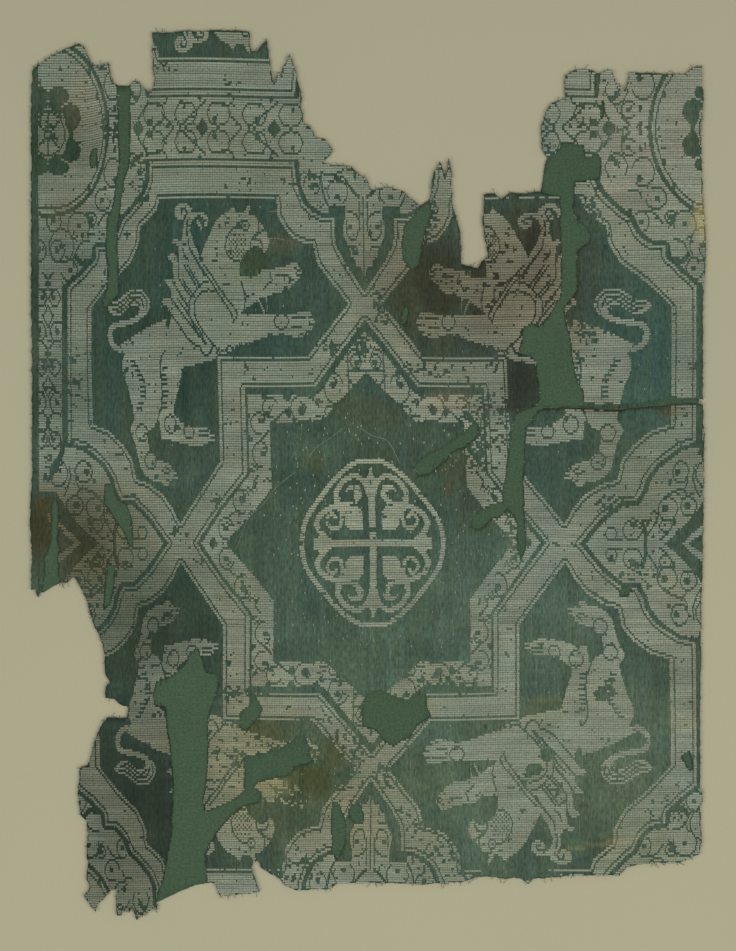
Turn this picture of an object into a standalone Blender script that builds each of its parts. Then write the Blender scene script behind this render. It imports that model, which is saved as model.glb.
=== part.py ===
"""A torn panel of figured silk, in two pieces, lying flat on the plain cloth that supports it.

Metres, +Z up. The origin is under the middle of the panel, on the surface that it lies on.
The warp of both cloths runs along Y and their weft along X.
"""

import math
import random
from collections import namedtuple

import bmesh
import bpy

# Driving dimensions.
PANEL_WIDTH = 0.338
PANEL_HEIGHT = 0.445
SUPPORT_THICKNESS = 0.0010
SILK_THICKNESS = 0.0010
LAYER_GAP = 0.0003
MM = 0.001

# A torn edge is uneven between its corners: every stretch longer than TOOTH_SPACING gets
# extra corners, each moved sideways by up to TOOTH_DEPTH.
TOOTH_SPACING = 4.0
TOOTH_DEPTH = 0.45
CUT_DEPTH = 0.12
TEAR_SEED = 7

# Millimetres across from the left selvedge and down from the top edge.
Corner = namedtuple("Corner", "across down")
# A stretch of edge that is straight as woven has "woven" in place of "torn".
Stretch = namedtuple("Stretch", "name kind corners")
# A worn hole: its middle, its full width and height, and how far its top leans to the right.
Hole = namedtuple("Hole", "name across down wide tall lean")
Finish = namedtuple("Finish", "name red green blue roughness metallic")

SILK_FINISH = Finish("figured silk", 0.135, 0.162, 0.118, 0.62, 0.0)
SUPPORT_FINISH = Finish("plain support cloth", 0.052, 0.089, 0.053, 0.82, 0.0)

PANEL_OUTLINE = (
    Stretch("top left tab", "torn", (
        (1, 20), (4, 17.5), (10, 13), (24.5, 6.5), (27, 8.5), (30.5, 17.5), (36.5, 18),
        (38, 16), (39.5, 17), (41, 26), (43.5, 27.5))),
    Stretch("long tear, left side", "torn", (
        (44, 44.5), (44.5, 67), (43, 74.5), (42.5, 82), (41, 89.5), (38.5, 94.5),
        (38, 109.5), (39, 122), (38.5, 129.5), (36, 138.5))),
    Stretch("long tear, right side", "torn", (
        (38, 138.5), (41, 136), (44, 132), (44.5, 127), (43.5, 109.5), (43.5, 98.5),
        (45, 91), (46, 82), (47, 74.5), (49.5, 68), (50, 54.5), (50, 27.5))),
    Stretch("top tab", "torn", (
        (52, 25), (55, 26.5), (58.5, 30.5), (60.5, 31), (62, 27), (61.5, 14.5), (61, 1),
        (99, 0), (109.5, 0.5), (110.5, 10.5), (113, 10.5), (116, 7), (118.5, 5),
        (119.5, 13.5), (121, 26), (122.5, 26.5), (123.5, 21), (125, 21), (125.5, 24.5),
        (126.5, 18.5), (130, 11.5), (132, 17.5), (135, 29.5), (136.5, 45.5))),
    Stretch("upper bay, falling edge", "torn", (
        (141, 49.5), (143, 53.5), (147.5, 54.5), (151.5, 60), (146, 66), (151.5, 67.5),
        (160.5, 68), (164, 71.5), (168.5, 74.5), (170.5, 80), (180, 78.5), (186.5, 80.5),
        (195.5, 88))),
    Stretch("small bay over the support", "torn", (
        (191, 93.5), (187, 98), (186, 107), (186.5, 114.5), (191.5, 120), (194.5, 117.5),
        (196, 107), (198.5, 98), (201, 91.5), (200, 85.5))),
    Stretch("forked tooth", "torn", (
        (200.5, 78.5), (202, 71), (205, 65.5), (206.5, 69.5), (207.5, 75), (208.5, 69.5),
        (209.5, 63.5), (210.5, 68.5), (210.5, 77), (211, 87), (214, 95.5), (215.5, 104.5),
        (215.5, 117))),
    Stretch("notch and dark head piece", "torn", (
        (220, 118), (224, 119), (226, 115.5), (229, 113), (227.5, 103.5), (226.5, 92),
        (227, 82), (232.5, 81.5), (235.5, 84.5), (240, 81), (247.5, 81.5), (255, 80.5),
        (261, 82.5), (265, 83))),
    Stretch("great loss, left side", "torn", (
        (265.5, 99.5), (266, 124.5), (265.5, 132.5), (260, 142), (257.5, 146),
        (254, 148.5), (251, 146.5), (247, 148.5), (246, 156.5), (244, 161.5),
        (251, 163.5), (253.5, 166.5), (254.5, 177), (255, 184.5), (252, 188.5),
        (247, 190), (242.5, 192.5), (240.5, 199.5), (239, 212), (238, 223.5),
        (236, 230.5), (236.5, 235.5))),
    Stretch("hooked loss", "torn", (
        (231, 237), (225, 240), (221, 244.5), (220, 248.5), (224.5, 249.5),
        (228.5, 247), (231, 244), (235, 243.5), (238.5, 239.5), (241, 241.5),
        (243, 244.5), (243.5, 254.5), (244, 262), (246.5, 263))),
    Stretch("great loss, right side", "torn", (
        (248, 257), (247.5, 244.5), (247, 234.5), (246.5, 227), (247.5, 209.5),
        (248, 199.5), (251.5, 194.5), (253.5, 190.5))),
    Stretch("edge under the upper piece", "torn", (
        (257.5, 189), (276.5, 188.5), (285, 189.5), (292.5, 190), (305, 188.5),
        (315, 188), (322.5, 187), (330, 186.5), (336.5, 187))),
    Stretch("right selvedge", "woven", (
        (337, 204.5), (336.5, 264.5), (335.5, 284.5), (335.5, 314.5), (335, 344.5),
        (335, 377), (336.5, 384.5), (335, 389.5), (336, 404.5), (334.5, 412))),
    Stretch("lower edge", "torn", (
        (330, 413.5), (327, 415.5), (305, 417), (298, 418.5), (294.5, 422.5),
        (275, 422.5), (251.5, 424), (249, 426.5), (246, 424), (222.5, 423.5),
        (215, 426), (195, 427), (172.5, 426), (154, 426.5), (150.5, 429), (133.5, 430),
        (128, 428), (125, 424), (120, 421.5), (115.5, 418.5))),
    Stretch("lower notch and band end", "torn", (
        (114, 415), (111.5, 415.5), (110.5, 418.5), (112.5, 424.5), (114.5, 430.5),
        (110, 431.5), (97.5, 432.5), (94.5, 432), (92.5, 426.5), (88.5, 425.5),
        (88, 418.5), (87.5, 412.5), (90, 406), (93.5, 401), (97.5, 396),
        (101.5, 391.5), (107.5, 387.5), (115, 386))),
    Stretch("slanting loss", "torn", (
        (116, 381), (112, 378.5), (113.5, 376), (121, 374), (130, 372.5),
        (131.5, 368.5), (137.5, 367), (142, 365.5), (139, 362.5), (140, 358.5),
        (137, 353), (133.5, 353), (129.5, 356.5), (122.5, 360), (113.5, 362),
        (107, 363), (107.5, 372), (107.5, 380), (101, 385), (93, 388.5), (87.5, 391))),
    Stretch("lower loss, right side and top", "torn", (
        (86.5, 385.5), (88, 375.5), (89, 364.5), (89, 344.5), (91, 337.5), (94, 329.5),
        (94, 322), (88, 321.5), (86, 314.5), (84, 309), (80, 311), (78, 316.5),
        (74, 320.5), (69, 324), (63.5, 325.5), (61.5, 332), (62.5, 337.5),
        (67.5, 338.5))),
    Stretch("lower loss, left side", "torn", (
        (69, 352), (70.5, 363), (71.5, 377), (70.5, 404.5), (68.5, 414.5),
        (66.5, 424.5), (64, 431), (63.5, 441))),
    Stretch("tatters at the foot", "torn", (
        (61.5, 439), (58, 442), (55, 443), (53.5, 445), (51, 438), (49.5, 441),
        (47, 441), (46.5, 437.5), (45.5, 442.5), (43.5, 442.5), (43, 434.5),
        (43.5, 429.5), (40.5, 430), (37, 434), (33.5, 437), (33, 441), (30, 437),
        (27, 432.5), (29, 430.5), (30, 428))),
    Stretch("lower left edge", "torn", (
        (28.5, 424.5), (28.5, 395.5), (25, 392), (24, 383), (25, 369), (29, 367.5),
        (31.5, 357), (35, 348.5), (38.5, 343.5), (48.5, 344), (49.5, 338.5),
        (44, 336.5), (43, 334.5), (37.5, 334), (38, 327.5), (40, 326.5), (37.5, 321),
        (36.5, 307), (33.5, 300.5), (30, 292), (27.5, 283), (24, 276.5), (21.5, 273),
        (19, 276), (15, 276))),
    Stretch("short tear", "torn", (
        (14, 264.5), (14, 249.5), (14, 236.5), (12, 233.5), (10.5, 238.5),
        (10.5, 254.5), (7, 264.5), (7, 273.5), (5.5, 280.5), (4, 283.5), (2.5, 279.5),
        (0.5, 279.5))),
    Stretch("left selvedge", "woven", (
        (1, 264.5), (0, 244.5), (1, 219.5), (1, 174.5), (0.5, 134.5), (0.5, 84.5),
        (0.5, 39.5))),
)

UPPER_OUTLINE = (
    Stretch("upper corner", "torn", (
        (255.5, 48.5), (258, 41), (261, 36), (268, 34), (267.5, 22.5), (272, 20),
        (281, 20), (285, 22), (288, 19.5), (291, 20), (293, 26), (296, 28),
        (297.5, 30.5), (300, 21), (315, 21.5), (327.5, 22), (331, 19), (336, 17.5))),
    Stretch("right selvedge", "woven", (
        (336.5, 39.5), (335.5, 54.5), (336.5, 84.5), (338, 109.5), (336.5, 134.5),
        (336.5, 184.5))),
    Stretch("lower edge", "torn", (
        (329, 184), (321, 183), (312.5, 185), (297.5, 187), (285, 187.5), (277, 186),
        (276.5, 180.5))),
    Stretch("edge along the great loss", "torn", (
        (273, 173.5), (271, 162), (269.5, 152), (267.5, 144.5), (267, 138.5),
        (270, 135), (273.5, 130.5), (273.5, 119.5), (273.5, 110.5), (276, 108),
        (279.5, 106.5), (280.5, 102.5), (278, 98), (273.5, 95), (271.5, 88.5),
        (272, 79.5), (273, 75.5))),
    Stretch("upper bight", "torn", (
        (280, 75), (285, 73.5), (285.5, 63.5), (283, 61), (280, 64), (277.5, 63),
        (276.5, 57.5), (271.5, 56.5), (266, 56.5), (263.5, 61), (258.5, 63),
        (256, 59.5))),
)

SUPPORT_OUTLINE = (
    Stretch("top left", "cut", (
        (3, 22), (10, 15), (24, 9.5), (28, 16.5), (37.5, 19.5), (40, 27.5), (43, 27.5),
        (50.5, 27.5), (57.5, 31.5), (63, 31), (63, 2.5), (108, 2.5), (109.5, 12.5),
        (117, 10.5), (119, 27.5), (127, 26.5), (130, 20), (133.5, 30.5), (134, 46))),
    Stretch("upper bay", "cut", (
        (139, 51.5), (147, 59.5), (143, 64.5), (150, 69.5), (160, 70.5), (167, 76.5),
        (169, 82.5), (185, 82.5), (195, 88), (200, 84), (202.5, 75.5), (205, 70.5),
        (208, 78.5), (209, 88.5), (212, 95.5), (213.5, 104.5), (213.5, 119.5),
        (225, 121.5), (231.5, 115.5), (229.5, 104.5), (228.5, 84.5), (235, 87),
        (255, 83.5))),
    Stretch("top right", "cut", (
        (255.5, 81), (256.5, 74.5), (257.5, 67), (259, 63.5), (258.5, 59.5), (258, 48.5),
        (260, 41.5), (263.5, 37.5), (270, 36), (269.5, 24.5), (273, 22), (280, 22),
        (286, 24), (290, 21.5), (291.5, 27.5), (296, 30.5), (297.5, 33.5),
        (301.5, 23.5), (330, 23.5), (334.5, 19.5))),
    Stretch("right side", "cut", (
        (334.5, 39.5), (333.5, 54.5), (334.5, 84.5), (335.5, 109.5), (334.5, 134.5),
        (334.5, 184.5), (335, 204.5), (334.5, 264.5), (333.5, 284.5), (333.5, 314.5),
        (333, 344.5), (333, 377), (334, 384.5), (333, 391), (334, 404.5),
        (332.5, 410.5))),
    Stretch("foot", "cut", (
        (327, 413.5), (305, 415), (297, 417), (293, 421), (251.5, 422), (222.5, 422),
        (215, 424), (195, 425), (172.5, 424.5), (154, 424.5), (150, 426.5),
        (133.5, 428), (129, 426), (126, 422.5), (117, 417), (113.5, 413),
        (109.5, 414.5), (108.5, 418.5), (110.5, 424.5), (112, 429), (98, 430.5),
        (95.5, 426.5), (93.5, 424.5), (89, 426.5), (82.5, 427.5), (75, 430.5),
        (70, 433), (63.5, 436))),
    Stretch("foot of the left side", "cut", (
        (61.5, 437), (55, 440.5), (53, 440.5), (51, 435.5), (45, 438), (44.5, 428.5),
        (40, 428), (35, 432.5), (31.5, 434.5), (31.5, 428.5), (30.5, 424.5),
        (30.5, 396.5), (26.5, 392), (26, 383), (27, 371), (30.5, 369.5), (33.5, 357),
        (37, 348.5), (39.5, 345.5), (50.5, 345.5), (51.5, 337.5), (44.5, 334.5),
        (39.5, 332), (40, 328.5), (42, 326.5), (39, 320.5), (38.5, 307),
        (35.5, 299.5), (32, 291.5), (29.5, 283), (25.5, 275.5), (22, 271),
        (15.5, 276), (11, 278), (6.5, 281), (4, 280.5), (2.5, 276.5))),
    Stretch("left side", "cut", (
        (3, 264.5), (2, 244.5), (3, 219.5), (3, 174.5), (2.5, 134.5), (2.5, 84.5),
        (2.5, 39.5))),
)

# The long slanting losses have an outline of their own; the round ones come from Hole rows.
PANEL_LOSSES = (
    Stretch("slit in the star's corner", "torn", (
        (224, 196.5), (224, 202), (219, 207.5), (211, 211), (205, 217.5), (200, 221.5),
        (194, 223), (191.5, 218.5), (197, 213), (205, 209.5), (211, 205), (218, 200),
        (221.5, 196.5))),
    Stretch("split beside the left crossing", "torn", (
        (37.5, 227), (42, 227.5), (43, 234.5), (48, 237), (50.5, 243.5), (51.5, 258.5),
        (49.5, 257.5), (47, 250.5), (41, 242), (37, 236.5))),
    Stretch("split below the left crossing", "torn", (
        (38.5, 267.5), (42, 267.5), (42, 276.5), (40, 286.5), (37, 289.5),
        (37.5, 279.5))),
    Stretch("loss in the lower strap's corner", "torn", (
        (110.5, 331.5), (113, 333), (116.5, 339.5), (113, 345), (108, 350),
        (105, 348.5), (105, 341), (109.5, 337.5))),
    Stretch("loss at the lower crossing", "torn", (
        (170, 330), (175, 330), (183.5, 333.5), (189, 334.5), (192, 331.5), (198, 332),
        (198.5, 339), (200.5, 343), (193, 348), (190, 353.5), (185, 355.5),
        (181.5, 358), (177.5, 355.5), (173, 350), (166, 347.5), (166, 337))),
    Stretch("slit by the lower leaf", "torn", (
        (151.5, 385.5), (154.5, 386.5), (158, 395.5), (157.5, 407), (154, 414.5),
        (151, 412), (150.5, 399.5))),
    Stretch("nick in the right strap", "torn", (
        (325.5, 363), (330, 360), (332, 369), (330, 370.5), (327.5, 366.5))),
)

PANEL_HOLES = (
    Hole("beside the roundel", 32, 63.5, 3.6, 10.5, 0.6),
    Hole("right of the upper crossing", 187.5, 142.5, 3.0, 9.0, 0.8),
    Hole("by the lower leaf", 163.5, 392.0, 7.6, 10.5, -0.6),
    Hole("above the right palmette", 297.5, 280.5, 6.5, 4.6, 1.0),
    Hole("in the left compartment", 170.0, 101.5, 1.8, 2.6, 0.2),
    Hole("in the star's lower border", 227.5, 348.0, 2.0, 2.4, 0.0),
)

UPPER_HOLES = (
    Hole("under the upper tab", 286.2, 39.5, 1.8, 9.0, 0.2),
    Hole("in the upper strap", 299.6, 91.0, 2.2, 4.0, 0.4),
)

HOLE_CORNERS = 12
HOLE_RAGGED = 0.14


def clear_scene():
    """Remove every object that the opened file holds."""
    for old in list(bpy.data.objects):
        bpy.data.objects.remove(old, do_unlink=True)


def make_material(finish):
    """A Principled material in the piece's own colour."""
    material = bpy.data.materials.new(finish.name)
    material.use_nodes = True
    shader = material.node_tree.nodes["Principled BSDF"]
    shader.inputs["Base Color"].default_value = (finish.red, finish.green, finish.blue, 1)
    shader.inputs["Roughness"].default_value = finish.roughness
    shader.inputs["Metallic"].default_value = finish.metallic
    return material


def inside_panel(across, down):
    """A corner, kept within the panel's full width and height."""
    return Corner(min(max(across, 0.0), PANEL_WIDTH / MM), min(max(down, 0.0), PANEL_HEIGHT / MM))


def toothed(start, end, depth, rng):
    """The corners from start up to but not including end, with teeth between them."""
    run = (end[0] - start[0], end[1] - start[1])
    length = (run[0] ** 2 + run[1] ** 2) ** 0.5
    parts = max(1, int(length / TOOTH_SPACING))
    corners = [Corner(*start)]
    for part in range(1, parts):
        along = (part + rng.uniform(-0.25, 0.25)) / parts
        aside = rng.uniform(-depth, depth) / length
        corners.append(inside_panel(start[0] + run[0] * along - run[1] * aside,
                                    start[1] + run[1] * along + run[0] * aside))
    return corners


def edge_loop(stretches, rng):
    """One closed loop of corners round the named stretches of edge."""
    depth_of = {"torn": TOOTH_DEPTH, "woven": CUT_DEPTH, "cut": CUT_DEPTH}
    named = [(corner, stretch.kind) for stretch in stretches for corner in stretch.corners]
    loop = []
    for index, (corner, kind) in enumerate(named):
        following = named[(index + 1) % len(named)][0]
        loop.extend(toothed(corner, following, depth_of[kind], rng))
    return loop


def hole_loop(hole, rng):
    """A ragged oval of corners for a worn hole."""
    loop = []
    for step in range(HOLE_CORNERS):
        turn = 2 * math.pi * step / HOLE_CORNERS
        reach = 1 + rng.uniform(-HOLE_RAGGED, HOLE_RAGGED)
        up = math.sin(turn) * reach * hole.tall / 2
        right = math.cos(turn) * reach * hole.wide / 2 + hole.lean * math.sin(turn)
        loop.append(Corner(hole.across + right, hole.down - up))
    return loop


def place(corner, height):
    """A corner in metres in the panel's frame, at this height above the surface."""
    return (corner.across * MM - PANEL_WIDTH / 2, PANEL_HEIGHT / 2 - corner.down * MM, height)


def make_sheet(name, loops, bottom, thickness, finish):
    """A flat sheet between two heights: the first loop is its edge, the others are holes."""
    mesh = bpy.data.meshes.new(name)
    sheet = bmesh.new()
    for loop in loops:
        verts = [sheet.verts.new(place(corner, bottom)) for corner in loop]
        for first, second in zip(verts, verts[1:] + verts[:1]):
            sheet.edges.new((first, second))
    bmesh.ops.triangle_fill(sheet, use_beauty=True, use_dissolve=False, edges=sheet.edges)
    bmesh.ops.recalc_face_normals(sheet, faces=sheet.faces)
    raised = bmesh.ops.extrude_face_region(sheet, geom=sheet.faces)
    tops = [item for item in raised["geom"] if isinstance(item, bmesh.types.BMVert)]
    bmesh.ops.translate(sheet, vec=(0, 0, thickness), verts=tops)
    bmesh.ops.recalc_face_normals(sheet, faces=sheet.faces)
    sheet.to_mesh(mesh)
    sheet.free()
    mesh.materials.append(make_material(finish))
    piece = bpy.data.objects.new(name, mesh)
    bpy.context.scene.collection.objects.link(piece)
    return piece


def make_support_cloth(rng):
    """The plain cloth underneath, cut just inside the silk and whole where the silk is lost."""
    return make_sheet("support_cloth", [edge_loop(SUPPORT_OUTLINE, rng)],
                      0.0, SUPPORT_THICKNESS, SUPPORT_FINISH)


def make_silk_panel(rng):
    """The large piece of figured silk, with its tears and holes."""
    loops = [edge_loop(PANEL_OUTLINE, rng)]
    loops += [edge_loop([loss], rng) for loss in PANEL_LOSSES]
    loops += [hole_loop(hole, rng) for hole in PANEL_HOLES]
    return make_sheet("silk_panel", loops, SUPPORT_THICKNESS + LAYER_GAP,
                      SILK_THICKNESS, SILK_FINISH)


def make_silk_upper_piece(rng):
    """The separate piece of the same silk at the upper right."""
    loops = [edge_loop(UPPER_OUTLINE, rng)]
    loops += [hole_loop(hole, rng) for hole in UPPER_HOLES]
    return make_sheet("silk_upper_piece", loops, SUPPORT_THICKNESS + LAYER_GAP,
                      SILK_THICKNESS, SILK_FINISH)


def main():
    """Build the three cloths from the surface upwards."""
    clear_scene()
    rng = random.Random(TEAR_SEED)
    make_support_cloth(rng)
    make_silk_panel(rng)
    make_silk_upper_piece(rng)


main()
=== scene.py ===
"""The looks of a torn panel of figured silk lying on the plain cloth that supports it.

The pattern is drawn once, as a quarter of the repeat on a weaver's chart, and every pale run of
the chart then becomes a low float of weft that lies on the dark ground.
"""

import logging
import math
from dataclasses import dataclass
from enum import Enum
from typing import Callable, Sequence

import bpy
import numpy as np
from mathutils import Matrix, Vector
from mathutils.geometry import delaunay_2d_cdt


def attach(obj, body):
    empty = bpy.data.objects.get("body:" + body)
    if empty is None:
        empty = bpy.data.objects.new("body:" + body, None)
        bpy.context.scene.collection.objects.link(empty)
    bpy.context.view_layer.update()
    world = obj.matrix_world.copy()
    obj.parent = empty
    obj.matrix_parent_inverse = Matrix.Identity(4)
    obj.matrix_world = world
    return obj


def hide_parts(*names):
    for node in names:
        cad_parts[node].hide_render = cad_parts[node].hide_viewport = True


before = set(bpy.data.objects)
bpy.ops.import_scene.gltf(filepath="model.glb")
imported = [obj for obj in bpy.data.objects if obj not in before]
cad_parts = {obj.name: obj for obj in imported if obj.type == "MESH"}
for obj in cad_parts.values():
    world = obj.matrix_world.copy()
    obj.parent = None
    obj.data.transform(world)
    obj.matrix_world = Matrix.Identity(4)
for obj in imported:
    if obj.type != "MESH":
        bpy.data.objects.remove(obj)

log = logging.getLogger("panel")

MM = 0.001
PANEL_WIDTH_MM = 338.0
PANEL_HEIGHT_MM = 445.0

# ---------------------------------------------------------------- the woven design

Spot = tuple[float, float]
Mask = np.ndarray
Run = tuple[np.ndarray, np.ndarray]
Dyer = Callable[[np.ndarray, np.ndarray], np.ndarray]

REPEAT_ACROSS = 166.0
REPEAT_UP = 207.4
CELL = 0.5
PASS = 1.175


def smooth_path(points: Sequence[Spot], closed: bool = False, steps: int = 6) -> list[Spot]:
    """A rounded line through every point.

    Args:
        points: The points that the line passes through.
        closed: Whether the last point joins the first.
        steps: How many parts each stretch is cut into.

    Returns:
        The points of the rounded line.
    """
    pts = np.array(points, float)
    count = len(pts)
    spans = count if closed else count - 1
    path: list[Spot] = []
    for i in range(spans):
        if closed:
            a, b, c, d = (pts[(i + k) % count] for k in (-1, 0, 1, 2))
        else:
            a, b, c, d = (pts[min(max(i + k, 0), count - 1)] for k in (-1, 0, 1, 2))
        for step in range(steps):
            t = step / steps
            p = 0.5 * (2 * b + (c - a) * t + (2 * a - 5 * b + 4 * c - d) * t * t
                       + (3 * b - a - 3 * c + d) * t ** 3)
            path.append((float(p[0]), float(p[1])))
    if not closed:
        path.append((float(pts[-1][0]), float(pts[-1][1])))
    return path


class Chart:
    """A quarter of the repeat as cells that are pale where the pattern weft shows.

    Places are in mm: across from the star's upright middle line, and up from its level one.
    """

    def __init__(self, across: float, up: float) -> None:
        """Start with every cell dark.

        Args:
            across: The chart's width.
            up: The chart's height.
        """
        cols, rows = int(round(across / CELL)) + 1, int(round(up / PASS)) + 1
        self.across, self.up = np.meshgrid(np.arange(cols) * CELL, np.arange(rows) * PASS)
        self.pale: Mask = np.zeros((rows, cols), bool)

    def lay(self, *masks: Mask) -> None:
        """Make these cells pale."""
        for mask in masks:
            self.pale |= mask

    def cut(self, *masks: Mask) -> None:
        """Make these cells dark."""
        for mask in masks:
            self.pale &= ~mask

    def area(self, points: Sequence[Spot], rounded: bool = False) -> Mask:
        """The cells inside a closed outline.

        Args:
            points: The outline's corners.
            rounded: Whether a rounded line joins them.

        Returns:
            The cells.
        """
        path = smooth_path(points, True) if rounded else list(points)
        within = np.zeros(self.pale.shape, bool)
        for (ax, ay), (bx, by) in zip(path, path[1:] + path[:1]):
            if ay == by:
                continue
            crosses = (ay > self.up) != (by > self.up)
            within ^= crosses & (self.across < (bx - ax) * (self.up - ay) / (by - ay) + ax)
        return within

    def reach(self, path: Sequence[Spot], in_cells: bool = False) -> np.ndarray:
        """How far each cell is from a line.

        Args:
            path: The points along the line.
            in_cells: Whether the answer is in cells, and not in mm.

        Returns:
            The distance of each cell.
        """
        sx, sy = (CELL, PASS) if in_cells else (1.0, 1.0)
        x, y = self.across / sx, self.up / sy
        best = np.full(self.pale.shape, 1e9)
        for (ax, ay), (bx, by) in zip(path, path[1:]):
            ax, ay, bx, by = ax / sx, ay / sy, bx / sx, by / sy
            dx, dy = bx - ax, by - ay
            t = np.clip(((x - ax) * dx + (y - ay) * dy) / max(dx * dx + dy * dy, 1e-9), 0, 1)
            best = np.minimum(best, (x - ax - t * dx) ** 2 + (y - ay - t * dy) ** 2)
        return np.sqrt(best)

    def band(self, points: Sequence[Spot], width: float, rounded: bool = True) -> Mask:
        """The cells of a band of this width in mm along a line."""
        path = smooth_path(points) if rounded else list(points)
        return self.reach(path) <= width / 2

    def line(self, points: Sequence[Spot], rounded: bool = False, cells: float = 0.5) -> Mask:
        """The cells of a line about one cell wide."""
        path = smooth_path(points) if rounded else list(points)
        return self.reach(path, True) <= cells

    def score(self, points: Sequence[Spot], rounded: bool = False, cells: float = 0.5) -> None:
        """Cut a dark line about one cell wide."""
        self.cut(self.line(points, rounded, cells))

    def oval(self, middle: Spot, wide: float, tall: float | None = None) -> Mask:
        """The cells of an oval, given its middle and its half width and half height."""
        tall = wide if tall is None else tall
        return (((self.across - middle[0]) / wide) ** 2
                + ((self.up - middle[1]) / tall) ** 2) <= 1

    def ring(self, middle: Spot, wide: float, tall: float | None = None) -> Mask:
        """The cells just outside an oval, one cell deep."""
        return self.rim(self.oval(middle, wide, tall))

    @staticmethod
    def rim(mask: Mask) -> Mask:
        """The cells round a mask, one column and one row deep."""
        grown = mask.copy()
        grown[:, 1:] |= mask[:, :-1]
        grown[:, :-1] |= mask[:, 1:]
        grown[1:] |= mask[:-1]
        grown[:-1] |= mask[1:]
        return grown & ~mask


@dataclass(frozen=True)
class Straps:
    """The broad straps that cross each other, left between the fields they go round.

    Attributes:
        beast: The outline of the field that holds a griffin.
        star: The outline of the star's field.
        border: The outline of the field round the roundel, the hearts and the side palmette.
        edging: How wide the pale edging outside the dark line is.
        gap: How wide the dark channel between a strap and the ornament beside it is.
    """

    beast: tuple[Spot, ...] = (
        (8.5, 119.3), (23.3, 138.8), (24.8, 143.5), (25.8, 149.5), (31.3, 150.3), (36.5, 153),
        (40.7, 158), (43.7, 164.5), (44.1, 172.3), (105.8, 172.3), (107.3, 167), (113, 161.5),
        (116.8, 158.5), (117.6, 150), (122.6, 140.5), (130, 134), (136.5, 127.5), (145, 117.5),
        (145, 59.8), (135.3, 56.3), (128, 49.5), (122.8, 42), (121.1, 32.3), (114.3, 30.3),
        (106.3, 24.8), (101, 17.8), (96.9, 9.8), (73.5, 41), (73.5, 93.3), (29.3, 93.3))
    star: tuple[Spot, ...] = (
        (0, 111.3), (25.8, 78), (60.5, 78), (60.5, 35.3), (87.8, 0), (87.8, -9), (0, -9))
    border: tuple[Spot, ...] = (
        (0, 125.3), (9.9, 140.8), (14.4, 149.3), (14.9, 162.5), (21.8, 163.3), (26.3, 165.8),
        (30.8, 170.3), (34.2, 179.3), (35.2, 190.4), (111.5, 190.4), (112, 180.5), (115, 174),
        (122, 166.5), (126.5, 162.5), (130, 154.5), (135, 149.5), (142, 148.3), (142.5, 142.5),
        (149, 135.5), (157.5, 127.8), (157.5, 49.8), (150.2, 48.8), (145, 44.8), (138.8, 39.8),
        (134.2, 32.8), (133, 27.8), (130.2, 21.8), (122.8, 21.3), (115, 14.3), (108.5, 6.3),
        (104, 0), (104, -9), (190, -9), (190, 224), (-9, 224), (-9, 125.3))
    edging: float = 1.5
    gap: float = 2.2

    def draw(self, chart: Chart) -> None:
        """Lay the straps with a dark line inside each edge.

        Args:
            chart: The chart to draw on.
        """
        fields = [chart.area(field) for field in (self.beast, self.star, self.border)]
        everything = fields[0] | fields[1] | fields[2]
        chart.lay(~everything)
        for outline, field in zip((self.beast, self.star, self.border), fields):
            edged = field | (chart.reach([*outline, outline[0]]) <= self.edging)
            chart.cut(chart.rim(edged) & ~everything)

    def ornament_room(self, chart: Chart) -> Mask:
        """The part of the border field that is farther than the gap from the straps."""
        far = chart.reach([*self.border, self.border[0]]) > self.gap
        return chart.area(self.border) & far


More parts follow.
